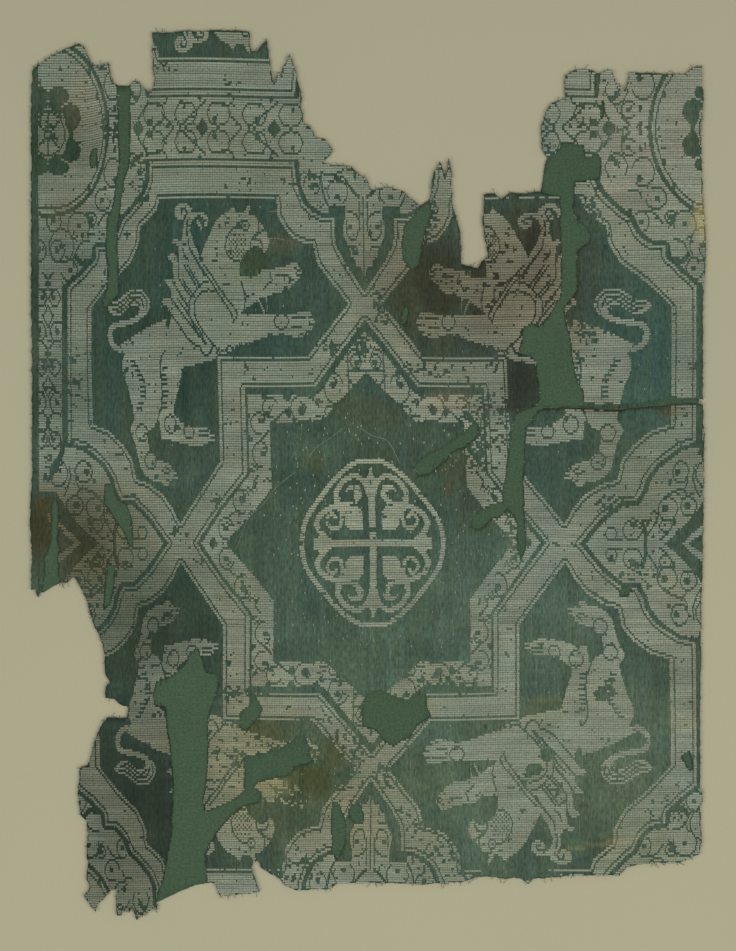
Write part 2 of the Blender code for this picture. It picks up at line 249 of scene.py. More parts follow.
@dataclass(frozen=True)
class StarBorder:
    """The border of scrolls that runs round the inside of the star.

    Attributes:
        outer: The border's outer outline.
        inner: The outline of the plain field inside it.
        scrolls: The middle, half width, half height, eye and eye size of each scroll.
        notches: Dark wedges between the scrolls and the edges.
        leaves: Short dark lines between the scrolls.
    """

    outer: tuple[Spot, ...] = (
        (0, 106.5), (9.2, 95), (23.8, 75), (59.3, 75), (59.3, 35), (85.2, 0), (85.2, -9), (0, -9))
    inner: tuple[Spot, ...] = (
        (0, 85), (12, 72.5), (20.5, 64), (24, 60), (49, 60), (49, 28), (58, 16), (71.5, 0),
        (71.5, -9), (0, -9))
    scrolls: tuple[tuple[Spot, float, float, Spot, float], ...] = (
        ((48.3, 68.2), 3.5, 4.5, (49.6, 65.2), 1.2), ((54.1, 60.4), 3.5, 4.5, (52.8, 61.6), 1.4),
        ((53.6, 45), 3.7, 5.6, (52.4, 45.4), 1.4), ((32.2, 67.6), 6.0, 6.2, (33, 66.4), 2.0),
        ((16.4, 77), 4.7, 6.8, (17, 79), 1.6), ((18.2, 65.8), 2.9, 2.2, (18, 65.8), 0.7),
        ((63.4, 21.6), 4.0, 5.4, (63.2, 22.4), 1.4), ((71.4, 7.6), 3.6, 4.6, (71.6, 7.8), 1.3))
    notches: tuple[tuple[Spot, ...], ...] = (
        ((49.2, 76), (52.8, 76), (52.2, 73), (50.6, 71)),
        ((37, 76), (42.6, 76), (40.8, 71.4), (38.6, 71.4)),
        ((24.4, 76), (29.6, 76), (27.4, 71.6)), ((60, 50.4), (57.2, 51.4), (57, 53.6), (60, 54.6)),
        ((60, 62), (57.6, 64), (60, 67)), ((60, 35), (56.6, 36.6), (60, 39.4)),
        ((39.4, 68.6), (41.6, 66.6), (39.4, 62.4), (37.6, 66)), ((24.6, 72), (26.6, 70), (24.4, 67.6)),
        ((76.2, 0), (78.6, 3), (81, 0), (78.6, -3)), ((57.4, 30), (58.6, 27.4), (56.6, 28)))
    leaves: tuple[tuple[Spot, ...], ...] = (
        ((48.2, 60.4), (43.4, 64.4), (41.4, 66.4)), ((53.6, 51.6), (49.2, 56.8)),
        ((47, 60.6), (41.8, 66.4)), ((26, 63.6), (22, 63.6)), ((55.2, 34.4), (57.6, 31), (56, 27)),
        ((67.4, 15.8), (70.4, 13)), ((60.4, 28.4), (58, 26)), ((10, 84), (6.5, 78)),
        ((22.4, 70), (25.4, 72)), ((12.2, 72.4), (14.2, 70)), ((58.2, 40), (55.6, 38)))

    def draw(self, chart: Chart) -> None:
        """Lay the border and cut its scrolls.

        Args:
            chart: The chart to draw on.
        """
        chart.lay(chart.area(self.outer) & ~chart.area(self.inner))
        for middle, wide, tall, eye, size in self.scrolls:
            chart.cut(chart.ring(middle, wide, tall) & (chart.across + chart.up * 0.3
                                                         > middle[0] + middle[1] * 0.3 - wide * 0.8))
            chart.cut(chart.oval(eye, size, size * 1.1))
            chart.score([eye, (eye[0] - size - 0.6, eye[1] + 1.6),
                         (eye[0] - 0.4, eye[1] + 2.6 + size / 3)], True)
        for notch in self.notches:
            chart.cut(chart.area(notch))
        for leaf in self.leaves:
            chart.score(leaf)
        for edge in (24.5, 28, 31.5):
            chart.cut(chart.area([(edge, 60), (edge + 1.6, 60), (edge + 0.8, 62.4)]))
        chart.cut(chart.line([(0, 85.4), (9.6, 85.4)]), chart.line([(9.2, 72), (9.2, 95.5)]))
        chart.cut(chart.area([(0, 99), (1.8, 96), (0, 93.4)]))
        chart.cut(chart.ring((5, 90.2), 2.6, 3.0), chart.oval((4.6, 89.6), 1.4, 1.6))
        chart.score([(8.2, 95.4), (4.4, 97), (2.9, 94.2)])


@dataclass(frozen=True)
class Medallion:
    """The rounded medallion in the star, with a cross between four pairs of scrolls.

    Attributes:
        outline: Its edge, from straight above the middle to level with it.
        ring_depth: How wide the pale ring inside the edge is.
    """

    outline: tuple[Spot, ...] = (
        (0, 42), (6, 41.6), (12, 38.6), (19.5, 32), (24.5, 26), (28.6, 21), (32.4, 15.6),
        (34.8, 11), (36.3, 5), (36.7, 0))
    ring_depth: float = 2.5

    def draw(self, chart: Chart) -> None:
        """Lay the ring, the cross and the scrolls.

        Args:
            chart: The chart to draw on.
        """
        edge = smooth_path(self.outline)
        whole = chart.area(edge + [(36.7, -5), (-1, -5)])
        far = chart.reach(edge)
        chart.lay(whole & (far <= self.ring_depth))
        chart.cut(whole & (far > self.ring_depth))
        self.lay_cross(chart)
        self.lay_scrolls(chart)

    @staticmethod
    def lay_cross(chart: Chart) -> None:
        """Lay the cross and its finials.

        Args:
            chart: The chart to draw on.
        """
        chart.lay(chart.area([(-1, -1), (1.7, -1), (1.7, 21.5), (2.6, 25), (3.7, 28), (4.4, 30.8),
                              (2.8, 31.8), (1.6, 33.2), (0.7, 36), (0.4, 36.8), (-1, 36.8)]))
        chart.cut((abs(chart.up - 6.3) < 1.2) & (chart.across < 3))
        chart.lay(chart.area([(-1, 2.1), (20.5, 2.1), (22.5, 3.3), (25, 4.8), (27.5, 3.4),
                              (29.6, 2.6), (29.8, -1), (-1, -1)]))

    @staticmethod
    def lay_scrolls(chart: Chart) -> None:
        """Lay the block, the curls and the crescents between two arms of the cross.

        Args:
            chart: The chart to draw on.
        """
        chart.lay(chart.area([(4.9, 7), (11.6, 7), (13.2, 8.4), (14, 10.6), (16.2, 11.4),
                              (16.2, 15.4), (18.4, 17.6), (18.8, 21.4), (8.8, 20.4), (7, 18),
                              (4.9, 15.4)]))
        chart.cut(chart.line([(14.2, 8), (14.2, 12.4)]), chart.line([(8.6, 18.6), (11, 18.6)]))
        chart.lay(chart.band([(15.4, 12.4), (15.9, 9.2), (17.8, 7.6), (20.2, 7.6), (22, 9.2),
                              (22.6, 11.6), (21.8, 13.8), (19.8, 14.6), (18.3, 13.4)], 1.9))
        chart.lay(chart.band([(17, 18.6), (21, 17.4), (24.2, 15.6), (26.8, 13), (27.8, 10.4),
                              (27.2, 8), (25.8, 5.6), (23.6, 3.4)], 2.7))
        chart.lay(chart.area([(14.5, 20.5), (10.1, 21.2), (8.8, 22.6), (8.5, 24.8), (9.2, 26.3),
                              (10.5, 26.7), (11.6, 25.9), (12.3, 25), (12.9, 25.7), (12.1, 27.4),
                              (10.8, 28.7), (9, 29.1), (6.8, 28.9), (5.4, 27.6), (4.8, 25.3),
                              (5.1, 22.8), (6.2, 21), (7.6, 19.8), (11, 18.8), (14.5, 19.2)], True))
        chart.lay(chart.band([(4.2, 31.2), (6.2, 32.8), (9.1, 33.1), (12, 32), (14.4, 30),
                              (16.1, 27.7), (17.3, 25.5), (17.6, 23.6), (16.9, 21.9),
                              (15.2, 20.7)], 2.7))
        chart.score([(12.8, 21.6), (15.8, 21.6)])


@dataclass(frozen=True)
class Griffin:
    """The griffin: its silhouette in parts, then the dark lines drawn on it."""

    head: tuple[Spot, ...] = (
        (84.5, 138), (82.5, 144.3), (79.1, 151.3), (75.7, 158.3), (71.5, 163.6), (67.8, 165.6),
        (65.4, 168.6), (64, 164.9), (60.5, 165.3), (57.4, 169.6), (57, 166.4), (58.5, 164.8),
        (54.5, 163.3), (50.6, 158.3), (48.6, 154.3), (47.8, 151.2), (48.4, 147), (50.2, 145),
        (51.4, 147), (52.8, 148.3), (55.5, 148.1), (57.5, 146.8), (59.5, 145.3), (61.2, 142.3),
        (62.3, 139.8), (62.3, 133.3), (60.5, 132.8), (53.6, 133.8), (60, 120), (84, 124))
    upper_foreleg: tuple[Spot, ...] = (
        (62.3, 133.3), (53.2, 133.8), (51.6, 136.8), (46.6, 137.3), (41.7, 137.8), (37.2, 139.8),
        (33.7, 140.8), (33.2, 137.8), (31.5, 136), (32.2, 133.3), (34.7, 130.3), (36.7, 128.1),
        (40.2, 125.3), (44.6, 124.8), (47.6, 124.3), (52.6, 122.3), (56.5, 119.3),
        (59.5, 117.3), (62.5, 114.6), (76, 112), (78, 128))
    lower_foreleg: tuple[Spot, ...] = (
        (61, 114.5), (56.5, 114.9), (49.6, 115), (44.6, 114.5), (34.7, 114.6), (33.7, 116),
        (27.6, 115.4), (26.3, 112.8), (25.1, 110.3), (26.1, 108.1), (27.3, 106), (30.2, 102.8),
        (34.7, 102.3), (38.7, 104.3), (42.6, 104.8), (46.6, 103.8), (49.6, 103.2), (53.6, 101.6),
        (57.5, 100.6), (60.5, 99.6), (64.5, 97.8), (67.4, 95.4), (71, 94.8), (80, 96), (84, 116))
    body: tuple[Spot, ...] = (
        (128.5, 99.6), (120, 104.8), (113, 108.4), (105.3, 111.4), (102.4, 112.2), (102.1, 109.2),
        (100.7, 107.2), (100, 110.4), (99.4, 112.8), (97.3, 113.3), (84, 118), (62, 115), (64, 98),
        (71, 95.8), (75.7, 91.8), (85.9, 89.3), (93.9, 87.8), (93.3, 85.3), (94.4, 82.3),
        (95.6, 76.8), (97.3, 71.8), (98.4, 68.8), (98.6, 64.8), (97.3, 63.3), (92.7, 59.8),
        (88.2, 58.6), (81.4, 58.6), (77.4, 55.8), (75.1, 53.6), (75.9, 51.1), (81.4, 50.3),
        (83.1, 48.8), (90.5, 49.3), (95, 50.3), (100.7, 51.8), (106.4, 52.8), (106.6, 61.3),
        (108.1, 61.8), (109.8, 58.8), (113, 56.8), (113.8, 52.8), (113, 45.3), (109.8, 44.8),
        (108.6, 41.8), (103, 40.6), (99.5, 37.8), (97.3, 34.8), (97.3, 32.8), (100.7, 31.8),
        (103.5, 28.3), (105.2, 28.3), (106.9, 30.8), (112, 31.8), (115.5, 33.8), (118.3, 37.8),
        (119.4, 42.8), (121.1, 49.8), (124, 56.8), (123.4, 58.8), (121.1, 61.8), (121.7, 66.8),
        (122.8, 71.8), (124.5, 78.8), (126.8, 84.8), (127.4, 90.8), (125.7, 94.8))
    wing: tuple[Spot, ...] = (
        (92.2, 156.8), (88.8, 156.8), (86.5, 149.8), (83.1, 143.2), (79.7, 137.8), (73, 127.8),
        (64, 115.8), (64, 106.8), (75.1, 95.8), (83.1, 96.8), (89.9, 102.2), (94.4, 108.2),
        (98.4, 113.8), (100.1, 116.8), (101.8, 119), (104.1, 120), (104.7, 121), (103, 122.8),
        (100.7, 123.2), (99, 122.5), (99.5, 125.8), (100.7, 128.8), (103, 131), (103.8, 132),
        (101.8, 132.7), (97.8, 132.2), (95, 133.2), (93.3, 140.8), (93.9, 148.8))
    tips: tuple[tuple[Spot, ...], ...] = (
        ((99, 150.5), (98.1, 151.8), (96.1, 151.9), (93.9, 150.8), (93, 148.2), (92.2, 144.8),
         (90.5, 142.2), (88.8, 140.2), (93.9, 131.8), (94.7, 136.8), (94.9, 143.8),
         (95.3, 147.8), (96.7, 149.9)),
        ((101.8, 142.4), (101.2, 143.8), (99.5, 144.8), (97.6, 144.7), (96.1, 143.1),
         (95.3, 140.2), (95.2, 131.8), (97.8, 132.8), (98.2, 136.8), (98.4, 139.8), (99.5, 141.9)))
    tail: tuple[Spot, ...] = (
        (128.5, 97.2), (132.5, 99.8), (134, 103.8), (133.6, 107.5), (131.4, 109.5), (127.4, 110.4),
        (122.3, 111.4), (118.3, 113), (115.7, 115), (114.6, 117.8), (114.3, 121.2))
    tuft: tuple[Spot, ...] = (
        (136.2, 118.8), (135.3, 120.5), (133.1, 121.3), (129.1, 122.5), (125.7, 125.2),
        (122.3, 127.3), (118.9, 127.8), (116, 127.2), (113.2, 124.8), (111.5, 121.8),
        (111.4, 118.2), (113.2, 115.2), (115.7, 113.8), (118.1, 115.5), (117.4, 117.5),
        (118.6, 119.2), (120.9, 119.8), (124, 118), (126.8, 115.8), (129.7, 114.2),
        (131.6, 114.4), (133.9, 116.2))
    tuft_lines: tuple[tuple[Spot, ...], ...] = (
        ((133.4, 119.5), (129.1, 120.5), (125.7, 122.8), (122.3, 125.4), (117.7, 126),
         (114.9, 124.2), (113, 121.2), (113.4, 117.8)),
        ((132.5, 117.2), (129.1, 118.2), (126, 120.4), (122.6, 123.1), (118.6, 123.8),
         (115.8, 121.5), (115, 118.2)),
        ((129.8, 116), (128, 116.6), (124.8, 118.8), (121.7, 121.4), (118.9, 121.5),
         (116.8, 119.2)))
    hind_line: tuple[Spot, ...] = (
        (102.6, 96.8), (104.9, 93.2), (105.4, 88.8), (105.2, 81.8), (105.2, 73.8),
        (105.8, 68.8), (108.1, 61.8))
    wing_lines: tuple[tuple[Spot, ...], ...] = (
        ((89.6, 151.8), (88.8, 147.2), (85.3, 142), (81.4, 136.2), (76.2, 129.8), (72, 123.2),
         (68, 117.2), (66, 113.2), (65.7, 110.8)),
        ((88.2, 145.8), (84.8, 140.8), (80.2, 133.2)),
        ((80.8, 138.8), (76.2, 133.2), (72, 126.8), (68, 121.2), (64.5, 116.8), (63.7, 113.8),
         (65.5, 111.2)),
        ((95.1, 143.8), (95.1, 138.8), (95.1, 133.2)), ((92.6, 146.8), (91.9, 143.8), (89.3, 141.2)),
        ((92.2, 139.2), (88.8, 134.2), (84.8, 128)), ((90.1, 139.2), (87, 134.2), (83.6, 129.2)),
        ((94.4, 131.8), (91, 126.8), (87.6, 122.8)), ((92.5, 131.2), (89.3, 126.8), (86.2, 123.5)),
        ((98.4, 131.2), (95, 125.8), (91.6, 120.8), (88.8, 116.8)),
        ((99.5, 123.2), (95.6, 118.2), (91, 112.5), (87, 107.8), (83.6, 103.5)),
        ((94.4, 120.8), (89.9, 115), (86.5, 110.2), (83.1, 106.2), (79.7, 99.8)),
        ((78.5, 131), (81.4, 130), (84.8, 126.8), (87.9, 123.2), (89.1, 119.8), (89.2, 115.8),
         (88.2, 111.8), (85.9, 107.8), (83.1, 103.8), (80.2, 99.8)),
        ((75.1, 126.2), (79.7, 126.2), (83.1, 124.5), (85.6, 121.2), (86.2, 117.8),
         (85.8, 114.2), (84.2, 110.2), (81.4, 106.2), (78, 101.8), (75.1, 98.8), (72.5, 96.2)),
        ((99, 114.2), (94.4, 108.8), (89.9, 102.5), (85.3, 99), (83.1, 98.2)),
        ((82.8, 99.2), (82.5, 96.8), (81.1, 94.8), (78.2, 94.5), (76.5, 96.8), (75.7, 100.2)))
    stem_lines: tuple[tuple[Spot, ...], ...] = (
        ((90.2, 160.8), (90.3, 156.8), (90.2, 153.2)), ((70.5, 128.8), (67.5, 128.8)),
        ((76.2, 141), (73.5, 141)), ((91.9, 162.3), (90.7, 163.8), (90.6, 165.5), (91.6, 166.8),
                                     (93.3, 167.2)))
    chest_line: tuple[Spot, ...] = (
        (61.5, 129.8), (60.3, 126.2), (59.7, 121.8), (60, 117.8))
    cuff_lines: tuple[tuple[Spot, ...], ...] = (
        ((50.6, 127.3), (46.6, 131.3), (47.6, 134.8)), ((44.6, 134), (38.7, 134)),
        ((36.7, 112.3), (29.8, 112.3)), ((37.2, 108.6), (31.8, 108.6)),
        ((104, 38.6), (101.6, 36.4)), ((106.6, 36.3), (102.4, 35)),
        ((84.6, 56.6), (79.4, 56.6)), ((84.6, 54.2), (79.4, 54.2)))
    feather_lines: tuple[tuple[Spot, ...], ...] = (
        ((53.4, 136), (53.8, 122.8), (50.4, 116)), ((49.2, 126.4), (49, 116.4)))
    joints: tuple[tuple[Spot, float, float], ...] = (
        ((117, 55.5), 3.2, 3.6), ((112.6, 41.7), 3.0, 3.6), ((100.7, 59.8), 3.2, 3.7),
        ((90.3, 56), 2.7, 2.8), ((42, 111), 3.1, 3.2))
    rear_ribs: tuple[Spot, ...] = (
        (122.6, 91.4), (121.2, 89.2), (120, 86.6), (118.6, 84.2), (117.4, 81.8),
        (117, 79.2), (117, 76.6), (117.2, 74), (118.8, 71), (119.6, 68))
    front_ribs: tuple[Spot, ...] = (
        (101.4, 88.2), (102.4, 84.4), (102.2, 82), (102, 79.6), (101.6, 76.8), (102, 73.8),
        (102.4, 71), (102.6, 68.4))

    def draw(self, chart: Chart) -> None:
        """Lay the silhouette and cut the lines on it.

        Args:
            chart: The chart to draw on.
        """
        for part in (self.head, self.upper_foreleg, self.lower_foreleg, self.body, self.wing,
                     *self.tips):
            chart.lay(chart.area(part))
        chart.lay(chart.band([(89.2, 166), (88.6, 162.6), (90.2, 159.6), (90.6, 154)], 4.0))
        chart.lay(chart.oval((92.8, 165.6), 4.7, 4.3), chart.oval((81.5, 160.6), 3.5, 3.4))
        chart.lay(chart.band([(88.6, 160.6), (86.6, 163.4), (84, 164.4), (81, 163.6)], 2.0))
        chart.lay(chart.band(self.tail, 2.9), chart.area(self.tuft, True))
        self.draw_lines(chart)
        self.draw_face(chart)
        self.draw_claws(chart)

    def draw_lines(self, chart: Chart) -> None:
        """Cut the lines of the wing, the limbs and the tail.

        Args:
            chart: The chart to draw on.
        """
        for lines in (self.wing_lines, self.tuft_lines):
            for path in lines:
                chart.score(path, True)
        for path in (*self.stem_lines, self.hind_line, self.chest_line):
            chart.score(path, True, 0.55)
        for path in self.cuff_lines:
            chart.score(path)
        for path in self.feather_lines:
            chart.lay(chart.line(path, False, 0.8))
        for middle, wide, tall in self.joints:
            chart.cut(chart.ring(middle, wide, tall))
        for across, up in self.rear_ribs:
            chart.score([(across, up), (across - 2.6, up), (across - 2.6, up - 1.2)])
        for across, up in self.front_ribs:
            chart.score([(across, up), (across + 2.8, up), (across + 2.8, up - 1.2)])
        chart.cut(chart.oval((93.4, 165.2), 0.6, 0.8), chart.oval((82.2, 160), 0.6, 0.8))
        chart.score([(85.4, 161.4), (83.4, 162), (81.2, 161.6), (80.8, 160)], True)

    def draw_face(self, chart: Chart) -> None:
        """Cut the eye, the beak and the dotted cheek.

        Args:
            chart: The chart to draw on.
        """
        chart.score([(62, 158.6), (64.5, 157.8), (67.3, 155), (69, 151.8), (69.3, 146.8),
                     (68, 143.8), (66, 141.7), (62.5, 140.9)], True)
        for row in range(8):
            for col in range(6):
                across = 59.4 + 2.0 * col + (row % 2)
                up = 142.8 + 1.5 * row
                dot = chart.line([(across, up), (across, up + 0.1)])
                if chart.oval((63.4, 149.4), 5.0, 7.2)[dot].all():
                    chart.cut(dot)
        chart.cut(chart.ring((59.6, 158.6), 1.7, 1.6))
        chart.cut(chart.oval((59.6, 158.6), 0.6, 0.7))
        chart.score([(53.1, 160.8), (53.1, 156.2), (56, 152.2), (57.1, 150.2),
                     (57.2, 147.2)], True)
        chart.score([(50.6, 156.6), (54.6, 153.2)])
        chart.score([(56, 151), (51.9, 151), (51, 148.6)])

    def draw_claws(self, chart: Chart) -> None:
        """Nick the ends of the paws into claws.

        Args:
            chart: The chart to draw on.
        """
        for across, up, fall in ((35.6, 137.6, 1), (34.4, 134.6, 1), (36, 131.4, 1),
                                 (28.4, 112.6, 0), (27.8, 109.2, 0), (29.4, 106, 1),
                                 (32.6, 104.6, 1), (78.4, 55.2, 0), (78, 52.6, 0),
                                 (100.6, 37.4, 1), (99.6, 34.6, 1), (103.4, 31.6, 1)):
            chart.score([(across, up), (across - 3, up - 1.4 * fall)])
        for step in range(7):
            chart.cut(chart.area([(58 + 2.4 * step, 99.2 - 0.6 * step),
                                  (59.2 + 2.4 * step, 100.6 - 0.6 * step),
                                  (60.2 + 2.4 * step, 98 - 0.6 * step)]))


@dataclass(frozen=True)
class BorderField:
    """What fills the field outside the straps: hearts, scrolls, roundel and palmettes.

    Attributes:
        hearts_foot: How high the lower edge of the band of hearts is.
        roundel: The roundel's middle.
        ring_wide: The half width of the roundel's ring.
        ring_tall: The half height of the roundel's ring.
        widest: How far across the ornament goes.
    """

    hearts_foot: float = 191.8
    roundel: Spot = (166.0, 207.4)
    ring_wide: float = 29.6
    ring_tall: float = 42.0
    widest: float = 170.5

    def draw(self, chart: Chart, straps: Straps) -> None:
        """Fill the field and cut its ornament.

        Args:
            chart: The chart to draw on.
            straps: The straps that the field lies between.
        """
        room = straps.ornament_room(chart)
        chart.cut(chart.area(straps.border))
        chart.lay(room & (chart.across < self.widest))
        self.cut_gable(chart)
        self.cut_hearts(chart)
        self.cut_corner(chart)
        self.cut_roundel(chart)
        self.cut_column(chart)
        self.cut_palmette(chart)

    def eye(self, chart: Chart, middle: Spot, wide: float, tall: float, eye: Spot,
            opening: float | None = None) -> None:
        """Cut one scroll: a ring with an eye and, where it opens, a gap in the ring.

        Args:
            chart: The chart to cut.
            middle: The ring's middle.
            wide: The ring's half width.
            tall: The ring's half height.
            eye: The middle of the dark eye.
            opening: The direction of the opening, in degrees.
        """
        ring = chart.ring(middle, wide, tall)
        if opening is not None:
            angle = np.degrees(np.arctan2(chart.up - middle[1], chart.across - middle[0]))
            ring &= np.abs((angle - opening + 180) % 360 - 180) > 38
        chart.cut(ring, chart.oval(eye, 1.15, 1.5))
        chart.score([eye, (eye[0] * 0.65 + middle[0] * 0.35 + 1.0,
                           eye[1] * 0.65 + middle[1] * 0.35 - 1.3)])

    def cut_gable(self, chart: Chart) -> None:
        """Cut the palmette that points down to the upper crossing.

        Args:
            chart: The chart to draw on.
        """
        below = (chart.up < 168.2) & (chart.across < 18)
        shape = chart.area([(-1, 169), (9, 168.3), (9.5, 161.8), (10.4, 158), (10.3, 154),
                            (9, 150.8), (7, 146.8), (6.8, 142.8), (4.5, 141.8), (4.3, 138.3),
                            (1.7, 137.8), (0.6, 134), (-1, 133)])
        chart.cut(below & ~shape & chart.area([(-1, 169), (18, 169), (18, 120), (-1, 120)])
                  & (chart.reach([(0, 125.3), (9.9, 140.8), (14.4, 149.3), (14.9, 162.5)]) > 0.2)
                  & ~self.strap_side(chart))
        chart.cut(chart.line([(0, 126), (0, 173)]), chart.line([(1.9, 156), (1.9, 171)]))
        chart.cut(chart.oval((6.8, 158), 1.2, 1.5))
        chart.score([(8.6, 160.8), (8.4, 154.6), (6.2, 151.8), (3.6, 152.2),
                     (2.8, 156)], True)
        chart.score([(7.6, 147.5), (4.4, 148.6), (3.4, 146.4)], True, 0.5)
        chart.score([(8, 166), (4, 164.4), (2.4, 162)], True, 0.5)
        self.eye(chart, (26.2, 179.6), 4.0, 4.6, (26.2, 178.6), -60)
        self.eye(chart, (13.2, 175.6), 5.0, 5.6, (13.4, 173.4), -80)
        chart.score([(21.6, 185.5), (20.6, 175.5), (17.4, 167.5)], True)
        chart.score([(9, 181.5), (5.4, 176.4), (2, 173)], True, 0.8)
        chart.score([(21.6, 185.5), (16, 184.2), (10, 186.5)], True)
        chart.cut(chart.oval((4, 184.5), 1.0, 2.6), chart.ring((6.5, 190), 2.6, 3.0))

    @staticmethod
    def strap_side(chart: Chart) -> Mask:
        """The cells outside the border field near the gable."""
        return ~chart.area(Straps().border)

    def cut_hearts(self, chart: Chart) -> None:
        """Cut the lattice of hearts along the top of the field.

        Args:
            chart: The chart to draw on.
        """
        foot = (chart.across > 35) & (chart.across < 111.6) & (chart.up < self.hearts_foot)
        chart.cut(foot & ~self.strap_side(chart) & (chart.up > 189))
        eyes = ((109.0, (111.6, 204.6), 1.7), (91.0, (92.0, 197.2), 0.9),
                (73.0, (74.8, 203.2), 1.3), (55.0, (53.6, 203.2), 1.3), (37.0, (36.2, 198), 0.9))
        for across, eye, size in eyes:
            chart.cut(chart.ring((across, 200.4), 5.8, 5.3), chart.oval(eye, size, size * 1.2))
            chart.score([eye, (eye[0] - size, eye[1] - 2.0)])
        for node in (97.5, 61.0):
            chart.score([(node - 3, 207), (node - 17.5, 194)])
            chart.score([(node + 0.5, 207), (node + 7, 200)])
            chart.score([(node - 3, 207.4), (node + 0.5, 207.4)])
            chart.score([(node + 4, 192), (node + 5.6, 195.4), (node + 10, 196)], True)
        for diamond in (118.0, 81.6, 45.4):
            chart.cut(chart.area([(diamond - 3.4, 207.4), (diamond, 202.6), (diamond + 3.4, 207.4),
                                  (diamond, 212.2)]))
            chart.cut(chart.area([(diamond - 1, 191), (diamond + 4, 191), (diamond + 1.5, 194)]))
        chart.score([(118, 202.4), (114.6, 197.6), (112.4, 194)], True)

    def cut_corner(self, chart: Chart) -> None:
        """Cut the scrolls between the hearts and the roundel, and those below it.

        Args:
            chart: The chart to draw on.
        """
        self.eye(chart, (121.2, 188.2), 4.4, 6.0, (121.4, 190), -90)
        self.eye(chart, (132.6, 185.6), 4.6, 6.6, (131, 182), 200)
        self.eye(chart, (126.6, 198), 3.0, 3.6, (126.4, 198), 0)
        self.eye(chart, (138.2, 172.4), 4.2, 5.0, (138.6, 172), 150)
        self.eye(chart, (131.6, 160.5), 3.4, 4.4, (131.8, 160.6), 160)
        self.eye(chart, (151.4, 159), 5.3, 6.4, (151.2, 159.4), 240)
        self.eye(chart, (144.6, 162.5), 2.2, 2.8, (144.6, 162.4), 0)
        self.eye(chart, (159.8, 148.6), 5.6, 7.4, (159.6, 148.8), 100)
        self.eye(chart, (156, 136.6), 3.8, 4.8, (155.6, 137), 30)
        self.eye(chart, (163.4, 161), 3.0, 4.2, (163.8, 161.6), 90)
        for leaf in (((126.4, 176.4), (130.6, 176), (132, 172.5)),
                     ((133, 166), (137.4, 164.6), (140.8, 160)),
                     ((146, 152), (150.6, 150), (153.6, 144)),
                     ((126.8, 205.4), (122.8, 210)), ((126.8, 205.4), (123.4, 201.4)),
                     ((143.4, 157), (147.6, 166)), ((157, 156), (160.4, 158))):
            chart.score(leaf, True)
        for up in (188.0, 196.4, 204.0):
            chart.cut(chart.oval((131.4, up + 9), 0.9, 1.8))
        chart.cut(chart.area([(144, 140.6), (150.6, 139), (154.6, 143.6), (153, 145), (149.4, 142),
                              (144.6, 143)]))

    def cut_roundel(self, chart: Chart) -> None:
        """Cut the roundel: a rosette in a dark field inside a double ring.

        Args:
            chart: The chart to draw on.
        """
        def oval(share: float) -> Mask:
            """The ring's oval, this many times its size."""
            return chart.oval(self.roundel, self.ring_wide * share, self.ring_tall * share)

        within = chart.across <= self.widest
        chart.cut(oval(1.055) & ~oval(1.0))
        chart.lay(oval(1.0) & within)
        chart.cut(chart.rim(oval(0.935)))
        lobes = np.arctan2((chart.up - self.roundel[1]) / 1.4, chart.across - self.roundel[0])
        field = chart.oval(self.roundel, 11.6, 15.6)
        for side in (-1, 1):
            for dx, dy, wide, tall in ((10.4, 8.6, 5.2, 6.2), (4.6, 18.2, 5.0, 4.0)):
                middle = (self.roundel[0] - dx, self.roundel[1] + side * dy)
                field |= chart.oval(middle, wide, tall)
                field |= chart.oval((middle[0] + 2 * dx, middle[1]), wide, tall)
        chart.cut(field)
        petals = ((chart.across - self.roundel[0]) / 9.8) ** 2 + (
            (chart.up - self.roundel[1]) / 13.6) ** 2
        chart.lay((petals <= 0.88 + 0.12 * np.cos(8 * lobes)) & within)
        chart.cut(chart.ring(self.roundel, 7.4, 10.4))
        for step in range(8):
            angle = math.pi / 4 * step
            start = (self.roundel[0] + 2.4 * math.cos(angle), self.roundel[1] + 3 * math.sin(angle))
            end = (self.roundel[0] + 7 * math.cos(angle), self.roundel[1] + 9.8 * math.sin(angle))
            chart.score([start, end])
        chart.cut(chart.ring(self.roundel, 1.4, 1.6))
        chart.cut(chart.oval((141.6, 190), 0.9, 2.2), chart.oval((146, 178.6), 0.9, 1.6))

    def cut_column(self, chart: Chart) -> None:
        """Cut the upright band of small hearts beside the side strap.

        Args:
            chart: The chart to draw on.
        """
        near, far = (3.0, 2.3, 3.5, 2.3), (4.1, 3.0, 4.6, 4.2)
        for up, (apart, wide, tall, eye) in ((146.4, far), (122.8, near), (105.8, far),
                                             (87.8, near), (69.8, far), (51.4, near)):
            for side in (-1, 1):
                chart.cut(chart.ring((166 + side * apart, up), wide, tall),
                          chart.oval((166 + side * eye, up), 0.9, 1.3))
                chart.score([(166 + side * eye, up + 0.6),
                             (166 + side * (eye - 0.9), up + 2.2)])
        for up in (129.8, 94.6, 59.6):
            chart.cut(chart.area([(164.6, up), (166, up + 2.6), (167.4, up), (166, up - 2.6)]))
            for side in (-1, 1):
                chart.cut(chart.line([(166, up + 2.2), (166 + side * 2.4, up + 5.4)]),
                          chart.line([(166, up - 2.2), (166 + side * 2.6, up - 4.4)]),
                          chart.line([(166, up - 11), (166 + side * 2.4, up - 16.4),
                                      (166, up - 21.8)]) & (chart.up > 48))
        point = chart.area([(160.9, 62), (160.9, 46), (166, 32.6), (171.1, 46), (171.1, 62)])
        beside = chart.reach([(160.9, 49), (160.9, 45.5), (166, 32.6)]) < 2.2
        chart.cut(beside & ~point)

